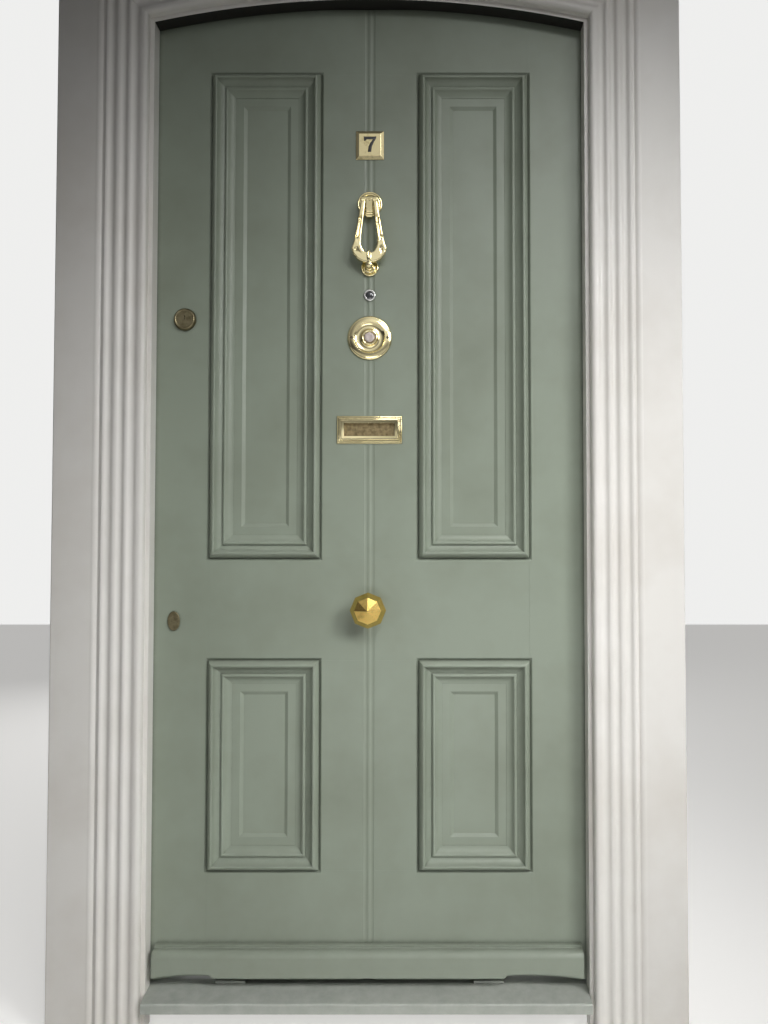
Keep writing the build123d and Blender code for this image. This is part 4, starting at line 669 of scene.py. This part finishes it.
for finishName, nodeNames in finishOf.items():
    for nodeName in nodeNames:
        slots = nodes[nodeName].data.materials
        slots.clear()
        slots.append(finishes[finishName])
print("finishes made:", len(finishes))


# helpers for the added pieces

def newPiece(name, mesh, finishName, bodyName):
    piece = bpy.data.objects.new(name, mesh)
    bpy.context.scene.collection.objects.link(piece)
    mesh.materials.clear()
    mesh.materials.append(finishes[finishName])
    for face in mesh.polygons:
        face.use_smooth = True
    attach(piece, bodyName)
    return piece


def plateFromOutline(name, outline, thickness, rounding, place):
    # a flat plate cut to one outline, its edges rounded, facing out of the house
    curve = bpy.data.curves.new(name + "Outline", "CURVE")
    curve.dimensions = "2D"
    curve.fill_mode = "BOTH"
    curve.resolution_u = 8
    spline = curve.splines.new("POLY")
    spline.points.add(len(outline) - 1)
    for point, (x, z) in zip(spline.points, outline):
        point.co = (x, z, 0, 1)
    spline.use_cyclic_u = True
    curve.offset = -rounding
    curve.bevel_depth = rounding
    curve.bevel_resolution = 2
    curve.extrude = thickness / 2 - rounding
    drawn = bpy.data.objects.new(name + "Outline", curve)
    bpy.context.scene.collection.objects.link(drawn)
    bpy.context.view_layer.update()
    mesh = bpy.data.meshes.new_from_object(drawn.evaluated_get(bpy.context.evaluated_depsgraph_get()))
    bpy.data.objects.remove(drawn)
    bpy.data.curves.remove(curve)
    mesh.transform(Matrix.Translation(place) @ Matrix.Rotation(math.radians(90), 4, "X"))
    shape = bmesh.new()
    shape.from_mesh(mesh)
    bmesh.ops.remove_doubles(shape, verts=shape.verts, dist=0.000005)
    bmesh.ops.recalc_face_normals(shape, faces=shape.faces)
    shape.to_mesh(mesh)
    shape.free()
    return mesh


def meshFromShape(name, shape):
    mesh = bpy.data.meshes.new(name)
    bmesh.ops.recalc_face_normals(shape, faces=shape.faces)
    shape.to_mesh(mesh)
    shape.free()
    return mesh


def turnedShape(profile, place, axis="Y", steps=48):
    # a solid of revolution: the profile's (radius, height) pairs meet the axis or each other
    shape = bmesh.new()
    rings = []
    for radius, height in profile:
        if radius < 1e-7:
            rings.append([shape.verts.new((0, 0, height))])
            continue
        ring = []
        for index in range(steps):
            turn = 2 * math.pi * index / steps
            ring.append(shape.verts.new((radius * math.cos(turn), radius * math.sin(turn), height)))
        rings.append(ring)
    for low, high in zip(rings, rings[1:]):
        for index in range(steps):
            after = (index + 1) % steps
            corners = [low[index % len(low)], low[after % len(low)],
                       high[after % len(high)], high[index % len(high)]]
            unique = list(dict.fromkeys(corners))
            if len(unique) > 2:
                shape.faces.new(unique)
    turn = Matrix.Rotation(math.radians(90), 4, "X" if axis == "Y" else "Y")
    bmesh.ops.transform(shape, matrix=Matrix.Translation(place) @ turn, verts=shape.verts)
    bmesh.ops.recalc_face_normals(shape, faces=shape.faces)
    return shape


def ballShape(place, radii):
    shape = bmesh.new()
    bmesh.ops.create_icosphere(shape, subdivisions=4, radius=1.0)
    matrix = Matrix.Translation(place) @ Matrix.Diagonal((*radii, 1))
    bmesh.ops.transform(shape, matrix=matrix, verts=shape.verts)
    return shape


def boxShape(place, size):
    shape = bmesh.new()
    bmesh.ops.create_cube(shape, size=1)
    matrix = Matrix.Translation(place) @ Matrix.Diagonal((*size, 1))
    bmesh.ops.transform(shape, matrix=matrix, verts=shape.verts)
    return shape


def joinShapes(name, shapes):
    # several closed shapes as one object
    whole = bmesh.new()
    for shape in shapes:
        part = meshFromShape(name, shape)
        whole.from_mesh(part)
        bpy.data.meshes.remove(part)
    thing = bpy.data.objects.new(name, meshFromShape(name, whole))
    bpy.context.scene.collection.objects.link(thing)
    return thing


def applyStep(thing):
    # makes the object's modifiers part of its mesh
    bpy.context.view_layer.update()
    shaped = thing.evaluated_get(bpy.context.evaluated_depsgraph_get())
    result = bpy.data.meshes.new_from_object(shaped)
    thing.modifiers.clear()
    thing.data = result


def meltTogether(thing, voxel, repeats):
    # overlapping shapes become one skin with soft edges, as a casting has
    melt = thing.modifiers.new("melt", "REMESH")
    melt.mode = "VOXEL"
    melt.voxel_size = voxel
    applyStep(thing)
    soften = thing.modifiers.new("soften", "SMOOTH")
    soften.factor = 0.5
    soften.iterations = repeats
    applyStep(thing)


def thinOut(thing, keep):
    thin = thing.modifiers.new("thin", "DECIMATE")
    thin.ratio = keep
    applyStep(thing)


def pressHollows(thing, face, hollows, setup):
    # soft ovals in the front: each has a middle, half width, half length, tilt and depth
    places = np.empty(len(thing.data.vertices) * 3)
    facing = np.empty(len(thing.data.vertices) * 3)
    thing.data.vertices.foreach_get("co", places)
    thing.data.vertices.foreach_get("normal", facing)
    places = places.reshape(-1, 3)
    outwards = facing.reshape(-1, 3)[:, 1] < -setup["frontSlope"]
    front = outwards & (places[:, 1] < face + setup["frontDepth"])
    push = np.zeros(len(places))
    for x, z, halfWide, halfLong, tilt, depth in hollows:
        right = places[:, 0] - x
        above = places[:, 2] - z
        across = (right * math.cos(tilt) - above * math.sin(tilt)) / halfWide
        along = (right * math.sin(tilt) + above * math.cos(tilt)) / halfLong
        inside = np.clip(1 - across ** 2 - along ** 2, 0, 1)
        push = np.maximum(push, depth * inside ** setup["hollowCurve"])
    places[:, 1] += push * front
    thing.data.vertices.foreach_set("co", places.ravel())
    thing.data.update()


# number plate's figure and pin

numeralSetup = {
    "tall": 0.034, "wide": 0.0265, "thickness": 0.0006, "rounding": 0.00015, "sunk": 0.0004,
    "lift": 0.0017,                    # above the plate's middle
    "outline": [(0.0, 1.0), (0.08, 0.97), (0.92, 0.97), (1.0, 1.0), (1.0, 0.86), (0.82, 0.62),
                (0.66, 0.34), (0.60, 0.0), (0.33, 0.0), (0.38, 0.32), (0.53, 0.58), (0.74, 0.79),
                (0.24, 0.79), (0.13, 0.70), (0.03, 0.70)],
    "pinOffset": (0.0215, -0.024), "pinSunk": 0.0019,
    "pinProfile": [(0, 0), (0.0012, 0), (0.0012, 0.0016), (0.0007, 0.0022), (0, 0.0023)],
}


def makeNumeral(setup):
    low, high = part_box("number_plate")
    middle = (low + high) / 2
    points = [((x - 0.5) * setup["wide"], (z - 0.5) * setup["tall"]) for x, z in setup["outline"]]
    place = Vector((0, low.y - setup["thickness"] / 2 + setup["sunk"], middle.z + setup["lift"]))
    mesh = plateFromOutline("numeral", points, setup["thickness"], setup["rounding"], place)
    newPiece("numeral_seven", mesh, "engravedBlack", "leaf")
    across, up = setup["pinOffset"]
    pin = turnedShape(setup["pinProfile"], Vector((across, low.y + setup["pinSunk"], middle.z + up)))
    newPiece("number_plate_pin", meshFromShape("plate_pin", pin), "darkScrew", "leaf")


makeNumeral(numeralSetup)
print("number plate finished")


# knocker loop, one casting with hollowed legs, a clasp and a ball

loopSetup = {
    "rounding": 0.0026, "thickness": 0.0108,
    "eyeRadius": 0.0060, "eyeOut": 0.0121, "eyeWide": 0.0102, "eyeChamfer": 0.0008, "bore": 0.00285,
    "outer": [(0.0173, -0.0042), (0.0195, -0.017), (0.0222, -0.035), (0.0258, -0.055),
              (0.0290, -0.073), (0.0318, -0.088), (0.0345, -0.0965), (0.0368, -0.1035),
              (0.0366, -0.1065), (0.0349, -0.1095), (0.0345, -0.1130), (0.0318, -0.1180),
              (0.0290, -0.1205), (0.0258, -0.1250), (0.0210, -0.1285), (0.0150, -0.1315),
              (0.0070, -0.1335), (0.0, -0.1340)],
    "inner": [(0.0073, -0.0042), (0.0086, -0.015), (0.0110, -0.035), (0.0137, -0.055),
              (0.0157, -0.073), (0.0168, -0.086), (0.0164, -0.0945), (0.0146, -0.1015),
              (0.0124, -0.1050), (0.0096, -0.1098), (0.0050, -0.1118), (0.0, -0.1122)],
    "hollows": [(0.0200, -0.0600, 0.0030, 0.0250, -11, 0.0026),
                (0.0182, -0.0400, 0.0022, 0.0060, -20, 0.0030),
                (0.0262, -0.0800, 0.0022, 0.0050, 25, 0.0026),
                (0.0268, -0.1063, 0.0018, 0.0018, 0, 0.0016)],
    "frontSlope": 0.25, "frontDepth": 0.0035, "hollowCurve": 0.6,
    "claspMiddle": -0.1208, "claspHalves": (0.0052, 0.0042, 0.0130), "claspSunk": 0.002,
    "claspHollowUp": 0.003, "claspHollow": (0.5, 0.6, 0.0022),
    "ball": -0.1375,
    "ballProfile": [(0, -0.0106), (0.0050, -0.0103), (0.0067, -0.0085), (0.0075, -0.0050),
                    (0.0075, 0.0), (0.0070, 0.0036), (0.0052, 0.0058), (0.0028, 0.0068), (0, 0.0071)],
    "voxel": 0.0004, "soften": 5, "keep": 0.5,
}


def smoothed(points, steps=4):
    # a soft line through the given points
    line = []
    for index in range(len(points) - 1):
        before = Vector(points[max(index - 1, 0)])
        start = Vector(points[index])
        end = Vector(points[index + 1])
        after = Vector(points[min(index + 2, len(points) - 1)])
        for step in range(steps):
            t = step / steps
            curve = (2 * before - 5 * start + 4 * end - after) * t * t
            twist = (3 * start - before - 3 * end + after) * t ** 3
            line.append(0.5 * ((2 * start) + (end - before) * t + curve + twist))
    line.append(Vector(points[-1]))
    return [(point.x, point.y) for point in line]


def mirrored(points):
    return [(-x, z) for x, z in points]


def eyeShape(setup, place):
    # one of the two eyes that turn on the pin
    half = setup["eyeWide"] / 2
    radius = setup["eyeRadius"]
    chamfer = setup["eyeChamfer"]
    ring = [(setup["bore"], -half), (radius - chamfer, -half), (radius, chamfer - half),
            (radius, half - chamfer), (radius - chamfer, half), (setup["bore"], half),
            (setup["bore"], -half)]
    return turnedShape(ring, place, "X")


def makeKnockerLoop(setup):
    hinge = next(joint for joint in frame["joints"] if joint["name"] == "knocker_swing")
    pin = Vector(hinge["pos_m"])
    outer = smoothed(setup["outer"])
    inner = smoothed(setup["inner"])
    horseshoe = outer + mirrored(outer[-2::-1]) + mirrored(inner[:-1]) + inner[::-1]
    flat = plateFromOutline("loopPlate", horseshoe, setup["thickness"], setup["rounding"], pin)
    plate = bmesh.new()
    plate.from_mesh(flat)
    grown = [plate]
    hollows = []
    for side in (-1, 1):
        grown.append(eyeShape(setup, pin + Vector((side * setup["eyeOut"], 0, 0))))
        for x, z, wide, tall, tilt, depth in setup["hollows"]:
            hollows.append((pin.x + side * x, pin.z + z, wide, tall, math.radians(side * tilt), depth))
    face = pin.y - setup["thickness"] / 2
    wide, out, tall = setup["claspHalves"]
    clasp = Vector((pin.x, face + out - setup["claspSunk"], pin.z + setup["claspMiddle"]))
    grown.append(ballShape(clasp, setup["claspHalves"]))
    widthShare, heightShare, depth = setup["claspHollow"]
    hollows.append((clasp.x, clasp.z + setup["claspHollowUp"], wide * widthShare, tall * heightShare,
                    0, depth))
    grown.append(turnedShape(setup["ballProfile"], pin + Vector((0, 0, setup["ball"]))))
    loop = joinShapes("knocker_loop_cast", grown)
    meltTogether(loop, setup["voxel"], setup["soften"])
    pressHollows(loop, face, hollows, setup)
    thinOut(loop, setup["keep"])
    mesh = loop.data
    bpy.data.objects.remove(loop)
    piece = newPiece("knocker_loop_cast", mesh, "polishedBrass", "knocker")
    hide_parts("knocker_loop")
    print("knocker loop:", len(mesh.polygons), "faces")


makeKnockerLoop(loopSetup)


# letter plate with reeded, mitred sides, and a stippled flap

letterSetup = {
    "sides": (0.0685, 0.0290), "opening": (0.0530, 0.0135),  # half sizes
    "edge": 0.0005, "reedPitch": 0.0033, "reedRadius": 0.0015, "reedSteps": 8,
    "reedRise": [0.0020, 0.0037, 0.0054],                    # how far out each reed's middle is
    "bandStart": 0.0001, "bandOut": 0.0073, "lipOut": 0.0063,
    "lugOut": 0.0560, "lugSize": (0.0030, 0.0084, 0.0070), "lugSunk": 0.0004,
    "sharpOver": 24,                                         # degrees
}

stippleSetup = {
    "sockets": {"Width": 0.100, "Height": 0.0225, "Columns": 46, "Rows": 11, "Dot Radius": 0.00105,
                "Dot Height": 0.42, "Scatter": 0.0008},
    "smallest": 0.45, "largest": 1.05, "segments": 8, "rings": 5,
    "scatterSeed": 7, "sizeSeed": 11,
    "below": 0.0018,                   # how far the sheet's middle is under the plate's
}


def reededProfile(setup):
    # distance in from the plate's edge, and height off the door
    profile = [(0, 0), (0, setup["reedRise"][0])]
    for index, rise in enumerate(setup["reedRise"]):
        middle = setup["edge"] + setup["reedRadius"] + index * setup["reedPitch"]
        for step in range(setup["reedSteps"] + 1):
            turn = math.pi * (1 - step / setup["reedSteps"])
            profile.append((middle + setup["reedRadius"] * math.cos(turn),
                            rise + setup["reedRadius"] * math.sin(turn)))
    across = setup["sides"][0] - setup["opening"][0]
    band = profile[-1][0] + setup["bandStart"]
    return profile + [(band, setup["bandOut"]), (across, setup["lipOut"]), (across, 0)]


def makeLetterPlate(setup):
    low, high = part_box("letter_frame")
    middle = (low + high) / 2
    shape = bmesh.new()
    loops = []
    for inwards, out in reededProfile(setup):
        wide = setup["sides"][0] - inwards
        tall = setup["sides"][1] - inwards
        corners = [(-wide, -tall), (wide, -tall), (wide, tall), (-wide, tall)]
        loops.append([shape.verts.new((middle.x + x, -out, middle.z + z)) for x, z in corners])
    for first, second in zip(loops, loops[1:] + loops[:1]):
        for index in range(4):
            after = (index + 1) % 4
            shape.faces.new([first[index], first[after], second[after], second[index]])
    parts = [shape]
    rodLow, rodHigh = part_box("letter_rod")
    out = setup["lugSize"][1] / 2 - setup["lugSunk"]
    for side in (-1, 1):
        place = Vector((side * setup["lugOut"], out, (rodLow.z + rodHigh.z) / 2))
        parts.append(boxShape(place, setup["lugSize"]))
    plate = joinShapes("letter_plate_reeded", parts)
    mesh = plate.data
    bpy.data.objects.remove(plate)
    piece = newPiece("letter_plate_reeded", mesh, "letterBrass", "leaf")
    mesh.set_sharp_from_angle(angle=math.radians(setup["sharpOver"]))
    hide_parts("letter_frame")


def makeStippleTree(setup, material):
    # a sheet of small low domes, each moved a little, on the flap's outside face
    tree = bpy.data.node_groups.new("flapStipple", "GeometryNodeTree")
    for label, value in setup["sockets"].items():
        kind = "NodeSocketInt" if isinstance(value, int) else "NodeSocketFloat"
        tree.interface.new_socket(label, in_out="INPUT", socket_type=kind)
    tree.interface.new_socket("Geometry", in_out="OUTPUT", socket_type="NodeSocketGeometry")
    start = addNode(tree, "NodeGroupInput")
    end = addNode(tree, "NodeGroupOutput")
    grid = addNode(tree, "GeometryNodeMeshGrid")
    offset = addNode(tree, "FunctionNodeRandomValue", {"data_type": "FLOAT_VECTOR"},
                     {"Min": (-1, -1, 0), "Max": (1, 1, 0), "Seed": setup["scatterSeed"]})
    scatter = addNode(tree, "ShaderNodeVectorMath", {"operation": "SCALE"})
    move = addNode(tree, "GeometryNodeSetPosition")
    dot = addNode(tree, "GeometryNodeMeshUVSphere", None,
                  {"Segments": setup["segments"], "Rings": setup["rings"]})
    squash = addNode(tree, "GeometryNodeTransform")
    flat = addNode(tree, "ShaderNodeCombineXYZ", None, {"X": 1.0, "Y": 1.0})
    place = addNode(tree, "GeometryNodeInstanceOnPoints")
    size = addNode(tree, "FunctionNodeRandomValue", {"data_type": "FLOAT"},   # 2 and 3 are its floats
                   {2: setup["smallest"], 3: setup["largest"], "Seed": setup["sizeSeed"]})
    real = addNode(tree, "GeometryNodeRealizeInstances")
    finish = addNode(tree, "GeometryNodeSetMaterial", None, {"Material": material})
    link = tree.links.new
    link(start.outputs["Width"], grid.inputs["Size X"])
    link(start.outputs["Height"], grid.inputs["Size Y"])
    link(start.outputs["Columns"], grid.inputs["Vertices X"])
    link(start.outputs["Rows"], grid.inputs["Vertices Y"])
    link(offset.outputs[0], scatter.inputs[0])
    link(start.outputs["Scatter"], scatter.inputs["Scale"])
    link(grid.outputs[0], move.inputs["Geometry"])
    link(scatter.outputs[0], move.inputs["Offset"])
    link(start.outputs["Dot Radius"], dot.inputs["Radius"])
    link(dot.outputs[0], squash.inputs[0])
    link(start.outputs["Dot Height"], flat.inputs["Z"])
    link(flat.outputs[0], squash.inputs["Scale"])
    link(move.outputs[0], place.inputs["Points"])
    link(squash.outputs[0], place.inputs["Instance"])
    link(size.outputs[1], place.inputs["Scale"])
    link(place.outputs[0], real.inputs[0])
    link(real.outputs[0], finish.inputs[0])
    link(finish.outputs[0], end.inputs[0])
    return tree


def makeFlapStipple(setup):
    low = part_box("letter_flap")[0]
    plateLow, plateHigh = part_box("letter_frame")
    tree = makeStippleTree(setup, finishes["flapBrass"])
    sheet = bpy.data.objects.new("flapStippleSheet", bpy.data.meshes.new("flapStippleSheet"))
    bpy.context.scene.collection.objects.link(sheet)
    nodesStep = sheet.modifiers.new("stipple", "NODES")
    nodesStep.node_group = tree
    for item in tree.interface.items_tree:
        if item.in_out == "INPUT":
            nodesStep[item.identifier] = setup["sockets"][item.name]
    applyStep(sheet)
    mesh = sheet.data
    bpy.data.objects.remove(sheet)
    place = Vector((0, low.y, (plateLow.z + plateHigh.z) / 2 - setup["below"]))
    mesh.transform(Matrix.Translation(place) @ Matrix.Rotation(math.radians(90), 4, "X"))
    newPiece("letter_flap_stipple", mesh, "flapBrass", "letter_flap")


makeLetterPlate(letterSetup)
makeFlapStipple(stippleSetup)
print("letter plate and flap finished")
